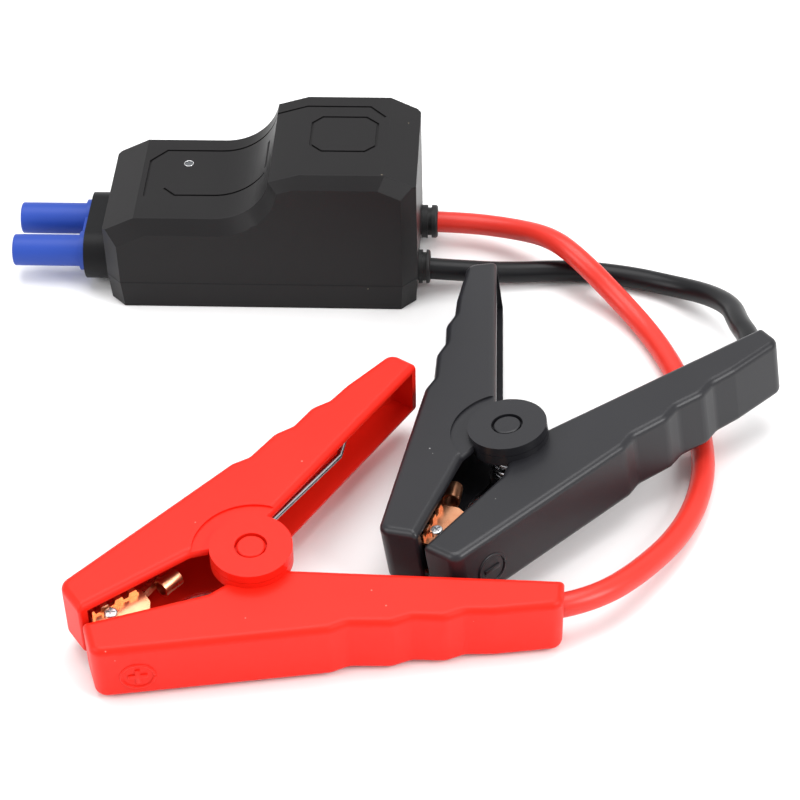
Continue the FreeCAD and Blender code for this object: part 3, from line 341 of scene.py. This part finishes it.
def spring_line():
    """Leg, helix and leg in the clamp's millimetres: (r cos a, r sin a, top - pitch * turns)."""
    radius = (SPRING_OD - WIRE_D) / 2
    cable_tip = np.array([LEG_U, LEG_V, LEG_W_CABLE])
    free_bend = from_free(FREE_BEND_U, FREE_BEND_V, LEG_W_FREE)
    free_tip = from_free(LEG_U, LEG_V, LEG_W_FREE)
    first = leave_angle(free_bend, radius, 1)
    last = leave_angle(cable_tip, radius, -1) + 2 * math.pi
    turns = WHOLE_TURNS + (last - first) / (2 * math.pi)
    share = np.linspace(0, 1, int(turns * STEPS_PER_TURN))
    angle = first + share * turns * 2 * math.pi
    height = turns * SPRING_PITCH * (0.5 - share)
    coil = np.stack([radius * np.cos(angle), radius * np.sin(angle), height], -1)
    free_leg = np.concatenate([free_tip[None], straight(free_tip, free_bend, BEND_STEPS),
                               straight(free_bend, coil[0], LEG_STEPS)])
    return np.concatenate([free_leg[:-1], coil, straight(coil[-1], cable_tip, LEG_STEPS)])


print("spring wire", round(line_length(spring_line()), 1), "mm long")

# %% [markdown]
# Each spring is made in its clamp's axes, with its place baked into its mesh. The ends of a thin slice at the
# coil's middle are worked out, but nothing reads them.

# %% Springs
BLEND_LOW, BLEND_HIGH = (0.0, 0.0, -4.2), (0.0, 0.0, 0.6)

springs = {}
for colour, still, moving in (("red", "red_clamp", "red_free"), ("black", "root", "black_free")):
    centres = in_clamp(colour, spring_line())
    wire = tube(colour + "_coil_spring", centres, WIRE_D / 2 * MM, WIRE_SIDES)
    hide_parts(colour + "_spring")
    low, high = in_clamp(colour, [BLEND_LOW, BLEND_HIGH])
    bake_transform(wire)
    springs[colour] = wire
print("springs", sorted(springs))

# %% [markdown]
# ## The housing's engraved lines
# The real housing is moulded with narrow lines in its decks: one along the back of both decks,
# one up the front of the rise, a short one across it and an eight-sided panel on the high
# deck. Painting them in a bump map would leave them out of the mesh, so they are cut. Each
# cutter is a ribbon that follows the deck, whose height is level, then a circle's arc of
# radius (run^2 + rise^2) / (2 * rise), then a slanted shoulder, then level.

# %% Deck sizes and lines
PLUG_END = -46.9
LOW_Z, HIGH_Z = 31.2, 47.7
RISE_FROM, RISE_TO, SHOULDER_TO = 33.6, 50.7, 59.9
SHOULDER_DROP = 2.8
BACK_LINE = [(11.8, -8.8), (11.8, 8.9), (16.4, 14.2), (33.0, 14.2), (51.0, 14.7), (60.2, 14.8),
             (78.9, 14.8), (83.6, 9.6)]
FRONT_LINE = [(17.3, -4.9), (20.8, -8.3), (33.2, -8.2), (48.2, -7.0)]
SHORT_LINE = [(48.3, -4.6), (48.3, 8.4)]
PANEL = [(62.1, -4.6), (65.5, -7.8), (78.3, -7.8), (81.5, -4.8), (81.5, 6.2), (78.0, 9.4),
         (65.0, 9.4), (62.1, 6.4)]


def deck_height(station):
    """Height of the deck's middle at a station from the plug end, in millimetres."""
    rise = HIGH_Z - SHOULDER_DROP - LOW_Z
    run = RISE_TO - RISE_FROM
    radius = (run ** 2 + rise ** 2) / (2 * rise)
    if station < RISE_FROM:
        return LOW_Z
    if station < RISE_TO:
        return LOW_Z + radius - math.sqrt(radius ** 2 - (station - RISE_FROM) ** 2)
    if station < SHOULDER_TO:
        share = (station - RISE_TO) / (SHOULDER_TO - RISE_TO)
        return HIGH_Z - SHOULDER_DROP * (1 - share)
    return HIGH_Z


print("deck height half way up the rise", round(deck_height((RISE_FROM + RISE_TO) / 2), 2), "mm")

# %% [markdown]
# A line needs more points where it climbs the rise, so that its cutter bends with the arc. At
# a corner the ribbon is mitred: its half width is divided by the cosine of half the turn.

# %% Groove cutters
GROOVE_HALF = 0.36
GROOVE_DEEP = 0.5
CUTTER_ABOVE = 2.0
RISE_STEP = 1.2


def subdivide(corners, closed):
    """Corner points of a line with more between them wherever it crosses the rise."""
    ends = corners[1:] + (corners[:1] if closed else [])
    points = []
    for a, b in zip(corners, ends):
        crosses = min(a[0], b[0]) < RISE_TO and max(a[0], b[0]) > RISE_FROM
        count = max(1, int(abs(b[0] - a[0]) / RISE_STEP)) if crosses else 1
        points += [np.add(a, np.subtract(b, a) * k / count) for k in range(count)]
    return np.array(points if closed else points + [corners[-1]])


def ribbon(corners, closed):
    """Points and faces of a cutter along a line: a square ring at each place.

    A ring's corners are place + side * half and place - side * half, above and below the deck.
    """
    flat = subdivide(corners, closed)
    after = np.roll(flat, -1, axis=0) - flat
    before = flat - np.roll(flat, 1, axis=0)
    if not closed:
        after[-1], before[0] = before[-1], after[0]
    after /= np.linalg.norm(after, axis=1)[:, None]
    before /= np.linalg.norm(before, axis=1)[:, None]
    way = after + before
    way /= np.linalg.norm(way, axis=1)[:, None]
    reach = GROOVE_HALF / np.einsum("ij,ij->i", way, after)
    side = np.stack([-way[:, 1], way[:, 0]], -1) * reach[:, None]
    height = np.array([deck_height(s) for s, _ in flat])
    rings = [np.column_stack([flat + k * side, height + lift])
             for k, lift in ((1, CUTTER_ABOVE), (-1, CUTTER_ABOVE),
                             (-1, -GROOVE_DEEP), (1, -GROOVE_DEEP))]
    points = np.stack(rings, 1).reshape(-1, 3)
    points[:, 0] += PLUG_END
    faces = skin(len(flat), 4, closed)
    if not closed:
        last = 4 * (len(flat) - 1)
        faces += [(3, 2, 1, 0), (last, last + 1, last + 2, last + 3)]
    return points * MM, faces


print("back line", len(subdivide(BACK_LINE, False)), "places")

# %% [markdown]
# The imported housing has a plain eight-sided groove in each deck. In a copy of it, the grooves'
# floors are lifted flush with the deck. That leaves flat faces, which melt away into one.

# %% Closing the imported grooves
PACKED_GROOVE = 0.5
SAME_HEIGHT = 0.02
SAME_PLACE = 2e-6
FLAT_DEGREES = 0.6


def closed_copy(name, node):
    """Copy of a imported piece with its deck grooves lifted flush, merged and melted away."""
    source = frame["nodes"][node]
    made = source.data.copy()
    made.transform(source.matrix_world)
    places = np.zeros(len(made.vertices) * 3)
    made.vertices.foreach_get("co", places)
    heights = places.reshape(-1, 3)[:, 2]
    for deck in (LOW_Z, HIGH_Z):
        heights[np.abs(heights / MM - (deck - PACKED_GROOVE)) < SAME_HEIGHT] = deck * MM
    made.vertices.foreach_set("co", places)
    mesh = bmesh.new()
    mesh.from_mesh(made)
    bmesh.ops.remove_doubles(mesh, verts=mesh.verts[:], dist=SAME_PLACE)
    bmesh.ops.dissolve_degenerate(mesh, edges=mesh.edges[:], dist=SAME_PLACE)
    bmesh.ops.dissolve_limit(mesh, angle_limit=math.radians(FLAT_DEGREES), verts=mesh.verts[:],
                             edges=mesh.edges[:])
    mesh.to_mesh(made)
    mesh.free()
    piece = bpy.data.objects.new(name, made)
    bpy.context.scene.collection.objects.link(piece)
    return piece


housing = closed_copy("engraved_housing", "upper_housing")
print("plain copy", len(housing.data.polygons), "faces")

# %% [markdown]
# Four booleans cut the lines. A narrow bevel gives the moulding's edges the thin light lines
# of a real one, and normals weighted by area keep its large faces looking flat.

# %% Engraving
EDGE_BEVEL = 0.28
BEVEL_FROM_DEGREES = 18
SHARP_DEGREES = 35


def settle(piece):
    """Apply a piece's modifiers and shade it smooth, with sharp edges above a limit's angle."""
    graph = bpy.context.evaluated_depsgraph_get()
    made = bpy.data.meshes.new_from_object(piece.evaluated_get(graph))
    piece.modifiers.clear()
    piece.data = made
    made.polygons.foreach_set("use_smooth", np.ones(len(made.polygons), dtype=bool))
    made.set_sharp_from_angle(angle=math.radians(SHARP_DEGREES))


cutters = []
for corners, closed in ((BACK_LINE, False), (FRONT_LINE, False), (SHORT_LINE, False),
                        (PANEL, True)):
    points, faces = ribbon(corners, closed)
    cutters.append(put_mesh("groove_cutter", points, faces))
    cut = housing.modifiers.new("groove", "BOOLEAN")
    cut.operation = "DIFFERENCE"
    cut.solver = "EXACT"
    cut.object = cutters[-1]
ease = housing.modifiers.new("edges", "BEVEL")
ease.width = EDGE_BEVEL * MM
ease.segments = 3
ease.limit_method = "ANGLE"
ease.angle_limit = math.radians(BEVEL_FROM_DEGREES)
settle(housing)
even = housing.modifiers.new("even_shading", "WEIGHTED_NORMAL")
even.mode = "FACE_AREA"
even.weight = 50
even.keep_sharp = True
for cutter in cutters:
    bpy.data.objects.remove(cutter)
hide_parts("upper_housing")
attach(housing, "root")
print("housing faces", len(housing.data.polygons))

# %% [markdown]
# ## The seam
# Where the housing meets its base there is a dark hairline gap, a quarter of a millimetre
# high. The two shells touch in the frame, so the gap's shadow is stood for by a thin black
# band round the box, a hair proud of the walls.

# %% Seam
SEAM_Z = 9.3
SEAM_HIGH = 0.26
SEAM_OUT = 0.03
SEAM_THICK = 0.25
BOX_HALF = (46.9, 23.15)
CORNER_CUT = 4.4


def seam_shadow_band():
    """Square rings at the eight corners of the box's outline: inner and outer, low and high. Together they make a
    band of painted shade along the seam.
    """
    x, y = BOX_HALF[0] + SEAM_OUT, BOX_HALF[1] + SEAM_OUT
    outer = np.array([(x, y - CORNER_CUT), (x - CORNER_CUT, y), (CORNER_CUT - x, y),
                      (-x, y - CORNER_CUT), (-x, CORNER_CUT - y), (CORNER_CUT - x, -y),
                      (x - CORNER_CUT, -y), (x, CORNER_CUT - y)])
    inner = outer * (1 - SEAM_THICK / BOX_HALF[0])
    low, high = SEAM_Z - SEAM_HIGH / 2, SEAM_Z + SEAM_HIGH / 2
    rings = [np.column_stack([line, np.full(len(line), z)])
             for line, z in ((inner, low), (inner, high), (outer, high), (outer, low))]
    points = np.stack(rings, 1).reshape(-1, 3) * MM
    return put_mesh("housing_seam_shadow", points, skin(len(outer), len(rings), joined=True))


# A thin black band of painted shade stands for the shadow in the seam's hairline gap.
seam_shadow = seam_shadow_band()
settle(seam_shadow)
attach(seam_shadow, "root")
print("seam faces", len(seam_shadow.data.polygons))

# %% [markdown]
# ## Ring of the status light, and the poles' signs
# The light pipe sits in a bright ring on the low deck. Each clamp has a raised ring with the
# sign of its pole on the outer wall of the lever that holds the lead. Rings are short tubes
# closed into hoops. A sign is one bar, or two crossed, raised from the wall with eased edges,
# which a text object would give with a typeface that the real one hasn't got.

# %% Hoops and signs
LIGHT_AT = (-23.4, 7.6)
LIGHT_RING = 1.35
LIGHT_RING_THICK = 0.16
MARK_AT = (-26.0, -32.2, -3.0)
MARK_RING = 4.3
MARK_RING_THICK = 0.4
MARK_BAR = (5.0, 1.3)
MARK_HIGH = 0.45
MARK_SUNK = 0.3
MARK_EASE = 0.2
WALL_ALONG = (58.7, 10.9)
HOOP_STEPS = 40
HOOP_SIDES = 8


def hoop(name, centre, first, second, radius, thick):
    """Round ring in metres: centre + radius * (first * cos(angle) + second * sin(angle))."""
    angle = np.linspace(0, 2 * math.pi, HOOP_STEPS + 1)[:, None]
    line = np.array(centre) + radius * np.cos(angle) * first + radius * np.sin(angle) * second
    return tube(name, line, thick, HOOP_SIDES)


def raised_sign(name, centre, along, up, out, crossed):
    """A bar, or two crossed: an outline on a wall, and the same outline lifted out of it."""
    a, b = MARK_BAR[0] / 2, MARK_BAR[1] / 2
    outline = [(a, -b), (a, b), (-a, b), (-a, -b)]
    if crossed:
        outline = [(a, -b), (a, b), (b, b), (b, a), (-b, a), (-b, b), (-a, b), (-a, -b),
                   (-b, -b), (-b, -a), (b, -a), (b, -b)]
    flat = np.array(outline) * MM
    base = centre + flat[:, :1] * along + flat[:, 1:] * up - out * MARK_SUNK * MM
    lid = base + out * (MARK_HIGH + MARK_SUNK) * MM
    count = len(outline)
    caps = [tuple(range(count, 2 * count)), tuple(range(count - 1, -1, -1))]
    piece = put_mesh(name, np.concatenate([base, lid]), skin(2, count) + caps)
    ease = piece.modifiers.new("ease", "BEVEL")
    ease.width = MARK_EASE * MM
    ease.segments = 2
    settle(piece)
    return piece


# %% [markdown]
# The wall's direction is worked out from two of the lever's own lengths, and the way out of
# it is square to that and to the clamp's face. A sign moves with the lever that carries it.

# %% Light ring and marks
light_place = (LIGHT_AT[0] * MM, LIGHT_AT[1] * MM, LOW_Z * MM)
light_ring = hoop("light_ring", light_place, np.array([1.0, 0, 0]), np.array([0, 1.0, 0]),
                  LIGHT_RING * MM, LIGHT_RING_THICK * MM)
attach(light_ring, "root")

marks = {}
for colour, body in (("red", "red_clamp"), ("black", "root")):
    pivot, u, v, w = clamp_frame(colour)
    along = WALL_ALONG[0] * u + WALL_ALONG[1] * v
    along /= np.linalg.norm(along)
    out = np.cross(along, w)
    centre = in_clamp(colour, MARK_AT)[0]
    marks[colour] = [
        hoop(colour + "_mark_ring", centre, along, w, MARK_RING * MM, MARK_RING_THICK * MM),
        raised_sign(colour + "_mark_sign", centre, along, w, out, colour == "red")]
    for piece in marks[colour]:
        "lever_" + colour
        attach(piece, body)
print("marks", [piece.name for pieces in marks.values() for piece in pieces])

# %% [markdown]
# ## Writing finishes as sums
# A finish is a small graph of nodes. Linked one by one they are hard to read, so a socket is
# wrapped in a class that knows how to add, multiply and compare, and every other node comes
# from one method. The same method also builds the sky.


# %% Nodes as sums
class Level:
    """The output of a node, which can stand in a sum."""

    def __init__(self, graph, socket):
        self.graph = graph
        self.socket = socket

    def sum_node(self, operation, other):
        """Output of a Math node of this level and another, or a plain number."""
        return self.graph.node("ShaderNodeMath", {"operation": operation}, {0: self, 1: other})

    def __add__(self, other):
        return self.sum_node("ADD", other)

    def __mul__(self, other):
        return self.sum_node("MULTIPLY", other)

    def __lt__(self, other):
        return self.sum_node("LESS_THAN", other)

    def __gt__(self, other):
        return self.sum_node("GREATER_THAN", other)

    __radd__ = __add__
    __rmul__ = __mul__


class Graph:
    """The nodes of one material, or of the world."""

    def __init__(self, tree):
        self.tree = tree
        tree.nodes.clear()

    def node(self, kind, settings=None, inputs=None, output=0):
        """Output of a new node: its settings are made first, then its sockets are fed."""
        made = self.tree.nodes.new(kind)
        for key, value in (settings or {}).items():
            setattr(made, key, value)
        for key, value in (inputs or {}).items():
            self.feed(made.inputs[key], value)
        return Level(self, made.outputs[output]) if made.outputs else made

    def feed(self, socket, value):
        """Link a socket or set its own value."""
        if isinstance(value, Level):
            self.tree.links.new(value.socket, socket)
        else:
            socket.default_value = value


print("sums can add, multiply and compare")

# %% [markdown]
# A finish adds the few patterns that this object needs. Unless they are given another map,
# they read Object coordinates, which are metres on the piece itself, so a pattern stays put
# when a clamp moves. A mix of two colours has its factor in socket 0 and its colours in
# sockets 6 and 7.

# %% Finishes
SPECK_CELLS = 190.0
SPECK_SIZE = 0.045
SPECK_PATCHES = 70.0
SPECK_SHARE = 0.56


class Finish(Graph):
    """A material under construction, round one Principled shader."""

    def __init__(self, name):
        self.material = bpy.data.materials.new(name)
        self.material.use_nodes = True
        super().__init__(self.material.node_tree)

    def surface(self, **values):
        """The material, with the shader's sockets fed; their names have underscores here."""
        inputs = {key.replace("_", " "): value for key, value in values.items()}
        shader = self.node("ShaderNodeBsdfPrincipled", None, inputs)
        self.node("ShaderNodeOutputMaterial", None, {"Surface": shader})
        return self.material

    def place(self):
        """Object coordinates, in metres."""
        return self.node("ShaderNodeTexCoord", output="Object")

    def noise(self, scale, detail=2.0, vector=None):
        """Soft random level between 0 and 1; scale is in lumps for each metre."""
        inputs = {"Vector": vector or self.place(), "Scale": scale, "Detail": detail}
        return self.node("ShaderNodeTexNoise", None, inputs)

    def specks(self):
        """1 near the middle of some scattered cells, which look like dust, and 0 elsewhere."""
        inputs = {"Vector": self.place(), "Scale": SPECK_CELLS}
        cell = self.node("ShaderNodeTexVoronoi", None, inputs)
        return (cell < SPECK_SIZE) * (self.noise(SPECK_PATCHES, 1.0) > SPECK_SHARE)

    def colours(self, factor, a, b):
        """Colour between a and b."""
        settings = {"data_type": "RGBA"}
        return self.node("ShaderNodeMix", settings, {0: factor, 6: a, 7: b}, output=2)

    def bump(self, height, distance):
        """Normal of a surface that rises by distance where the height is 1."""
        inputs = {"Height": height, "Distance": distance}
        return self.node("ShaderNodeBump", None, inputs, output="Normal")


def rgb(red, green, blue):
    """Linear colour from the 0 to 255 values seen on a screen."""
    def linear(level):
        share = level / 255
        return share / 12.92 if share <= 0.04045 else ((share + 0.055) / 1.055) ** 2.4
    return (linear(red), linear(green), linear(blue), 1.0)


print("middle grey is", round(rgb(128, 128, 128)[0], 3), "in linear light")

# %% [markdown]
# ## Moulded plastic
# The box and the levers are injection moulded. Their skin is satin, with a very fine grain
# from the mould and slow changes of gloss where the plastic flowed or hands have rubbed it.
# One even colour would look like a drawing, so two noises are used: a fine one for bump and a
# coarse one for roughness and tone. Pieces that gather dust get a few pale specks.

# %% Plastics
FLOW_LUMPS = 45.0
GRAIN_LUMPS = 2600.0
FINE_GRAIN = 0.000012
COARSE_GRAIN = 0.00002
PATCHY = 0.06
GRAIN_ROUGH = 0.05


def moulded(name, dark, light, rough, shine=0.3, dust=None, grain=FINE_GRAIN):
    """Satin plastic: tone and roughness follow the slow noise, bump the fine one."""
    finish = Finish(name)
    slow = finish.noise(FLOW_LUMPS, 3.0)
    fine = finish.noise(GRAIN_LUMPS)
    tone = finish.colours(slow * 0.7 + fine * 0.3, dark, light)
    if dust is not None:
        tone = finish.colours(finish.specks(), tone, dust)
    roughness = slow * PATCHY + fine * GRAIN_ROUGH + (rough - GRAIN_ROUGH)
    return finish.surface(Base_Color=tone, Roughness=roughness, Normal=finish.bump(fine, grain),
                          Specular_IOR_Level=shine)


PLASTICS = {
    "housing_black": moulded("box_plastic", rgb(21, 20, 21), rgb(27, 26, 27), 0.38, 0.16,
                             rgb(110, 102, 88)),
    "collar_black": moulded("collar_plastic", rgb(14, 14, 16), rgb(20, 20, 22), 0.42, 0.14),
    "lever_black": moulded("black_lever_plastic", rgb(26, 26, 29), rgb(32, 32, 36), 0.34, 0.35,
                           rgb(140, 140, 140)),
    "lever_red": moulded("red_lever_plastic", rgb(224, 28, 14), rgb(234, 38, 22), 0.40, 0.2,
                         rgb(255, 120, 110)),
    "plug_blue": moulded("plug_plastic", rgb(34, 64, 150), rgb(42, 74, 166), 0.42, 0.25),
    "relay_black": moulded("relay_case", rgb(24, 24, 26), rgb(34, 34, 36), 0.35),
    "board_green": moulded("board_mask", rgb(12, 84, 42), rgb(18, 100, 52), 0.35),
    "led_white": moulded("light_chip", rgb(230, 228, 210), rgb(240, 238, 224), 0.3),
    "grommet_black": moulded("grommet_rubber", rgb(18, 18, 19), rgb(26, 26, 27), 0.5,
                             grain=COARSE_GRAIN),
}
print("plastics", len(PLASTICS))

# %% [markdown]
# ## Sheath
# The leads' sheath is soft and rather glossy, a little uneven along its length. A noise on
# Object coordinates would swim across the bends, so this one reads the tube's own map,
# stretched along the lead, and runs with the surface.

# %% Sheaths of the leads
STREAKS = (40.0, 900.0, 1.0)
WAVES = 60.0
STREAK_DEPTH = 0.00003


def sheath(name, dark, light, shine):
    """Soft sheath with faint lengthwise streaks and slow waves in its gloss."""
    finish = Finish(name)
    along = finish.node("ShaderNodeUVMap", {"uv_map": "UVMap"})
    drawn = finish.node("ShaderNodeMapping", None, {"Vector": along, "Scale": STREAKS})
    streak = finish.noise(1.0, 3.0, drawn)
    slow = finish.noise(WAVES)
    tone = finish.colours(streak * 0.5 + slow * 0.5, dark, light)
    return finish.surface(Base_Color=tone, Roughness=slow * 0.12 + streak * 0.08 + 0.24,
                          Normal=finish.bump(streak, STREAK_DEPTH), Specular_IOR_Level=shine)


SHEATHS = {
    "lead_red": sheath("red_sheath_finish", rgb(206, 42, 32), rgb(222, 56, 44), 0.35),
    "lead_black": sheath("black_sheath_finish", rgb(12, 12, 14), rgb(20, 20, 23), 0.2),
}
print("sheaths", len(SHEATHS))

# %% [markdown]
# ## Metals and the light pipe
# The copper jaws are stamped from bright sheet: fine scratches run over the plate, and the
# tone drifts from pink to orange where it has tarnished. The springs and the screws are plated
# steel. Metals get their look from what they mirror, so only the roughness and tone vary. The
# light pipe is smoky clear plastic. It is so small that a dark, coated surface reads as clear,
# and it renders with less noise than glass.

# %% Metals and the light pipe
TARNISH_LUMPS = 220.0
SCRATCH_LUMPS = 5200.0
SCRATCH_DEPTH = 0.00001


def metal(name, dark, light, rough=0.2):
    """Polished metal with fine scratches and patches of tarnish."""
    finish = Finish(name)
    patch = finish.noise(TARNISH_LUMPS, 4.0)
    fine = finish.noise(SCRATCH_LUMPS)
    return finish.surface(Base_Color=finish.colours(patch, dark, light), Metallic=1.0,
                          Roughness=patch * 0.18 + rough, Normal=finish.bump(fine, SCRATCH_DEPTH))


def clear_rod(name, dark, light):
    """Smoky clear plastic: a smooth coat over a dark, faintly clouded body."""
    finish = Finish(name)
    slow = finish.noise(900.0)
    return finish.surface(Base_Color=finish.colours(slow, dark, light),
                          Roughness=slow * 0.06 + 0.1, Coat_Weight=0.4)


METALS = {
    "jaw_copper": metal("jaw_copper_finish", rgb(206, 122, 82), rgb(246, 190, 150)),
    "contact_metal": metal("contact_finish", rgb(196, 176, 120), rgb(226, 208, 160)),
    "spring_steel": metal("spring_finish", rgb(160, 160, 164), rgb(206, 206, 210), 0.18),
    "screw_steel": metal("screw_finish", rgb(170, 170, 172), rgb(214, 214, 216)),
}
LIGHT_PIPE = clear_rod("light_pipe_finish", rgb(52, 54, 58), rgb(86, 90, 94))
print("metals", len(METALS))

# %% [markdown]
# ## Dressing the pieces
# The frame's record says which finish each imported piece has. The new pieces take the finish
# of the piece that they stand for. The light's ring alone is bright plated metal.

# %% Putting the finishes on
FINISHES = {**PLASTICS, **SHEATHS, **METALS, "light_pipe_clear": LIGHT_PIPE}
slots = {row["node"]: row["material_slot"] for row in frame["record"]["subparts"]}


def dress(piece, material):
    """Give a piece one material on every face."""
    if not piece.material_slots:
        piece.data.materials.append(material)
    for slot in piece.material_slots:
        slot.material = material


for node, piece in frame["nodes"].items():
    dress(piece, FINISHES[slots[node]])
for colour in ("red", "black"):
    dress(leads[colour], FINISHES["lead_" + colour])
    dress(springs[colour], FINISHES["spring_steel"])
    for piece in marks[colour]:
        dress(piece, FINISHES["lever_" + colour])
dress(housing, FINISHES["housing_black"])
# The seam band is painted shade: dark collar plastic standing for the shadow in the hairline gap.
dress(seam_shadow, FINISHES["collar_black"])
dress(light_ring, FINISHES["screw_steel"])
print("finishes", len(FINISHES))

# %% [markdown]
# ## The studio
# The portrait stands on a plain pale floor before an endless white. A strong white sky would
# wash the object out, so the sky has two levels: full white to the camera and in reflections,
# and dimmer as a lamp. Only the kind of ray chooses between them.

# %% Floor and sky
FLOOR_HALF = 3.0
FLOOR_BELOW = 0.0002
SKY_LEVEL = 0.62
WHITE = (1, 1, 1, 1)


def studio_floor():
    """Large pale square just under the object."""
    corners = np.array([(-1, -1), (1, -1), (1, 1), (-1, 1)]) * FLOOR_HALF
    points = np.column_stack([corners, np.full(4, -FLOOR_BELOW)])
    square = put_mesh("studio_floor", points, [(0, 1, 2, 3)])
    dress(square, Finish("floor_finish").surface(Base_Color=rgb(246, 246, 246), Roughness=0.6))


def studio_sky(level):
    """Even world light of a level, seen as white by the camera and through reflections."""
    world = bpy.data.worlds.new("studio_sky")
    world.use_nodes = True
    graph = Graph(world.node_tree)
    by_camera, by_gloss, by_glass = (
        graph.node("ShaderNodeLightPath", output=ray)
        for ray in ("Is Camera Ray", "Is Glossy Ray", "Is Transmission Ray"))
    lamp, seen = (graph.node("ShaderNodeBackground", None, {"Color": WHITE, "Strength": strength})
                  for strength in (level, 1.0))
    mix = graph.node("ShaderNodeMixShader", None,
                     {0: by_camera + by_gloss + by_glass, 1: lamp, 2: seen})
    graph.node("ShaderNodeOutputWorld", None, {"Surface": mix})
    bpy.context.scene.world = world


studio_floor()
studio_sky(SKY_LEVEL)
print("sky lights at", SKY_LEVEL)

# %% [markdown]
# Three soft square lamps give the satin plastic its sheen: one above, one at the left, and one
# at the right that draws the light line along the black clamp's edge. Small hard lamps would
# burn white spots into the red levers.

# %% Panels
PANEL_AIM = (0.04, -0.06, 0.0)
PANELS = {
    "top_panel": ((0.0, 0.15, 1.1), 0.9, 11.0),
    "left_panel": ((-0.9, -0.5, 0.7), 0.6, 5.0),
    "right_panel": ((0.85, -0.48, 0.72), 0.5, 7.0),
}

for name, (place, size, watts) in PANELS.items():
    data = bpy.data.lights.new(name, "AREA")
    data.shape = "SQUARE"
    data.size = size
    data.energy = watts
    lamp = bpy.data.objects.new(name, data)
    bpy.context.scene.collection.objects.link(lamp)
    facing = (Vector(place) - Vector(PANEL_AIM)).to_track_quat("Z", "Y")
    lamp.matrix_world = Matrix.Translation(place) @ facing.to_matrix().to_4x4()
    print(name, watts, "W")

settings = bpy.context.scene.view_settings
settings.view_transform = "Standard"
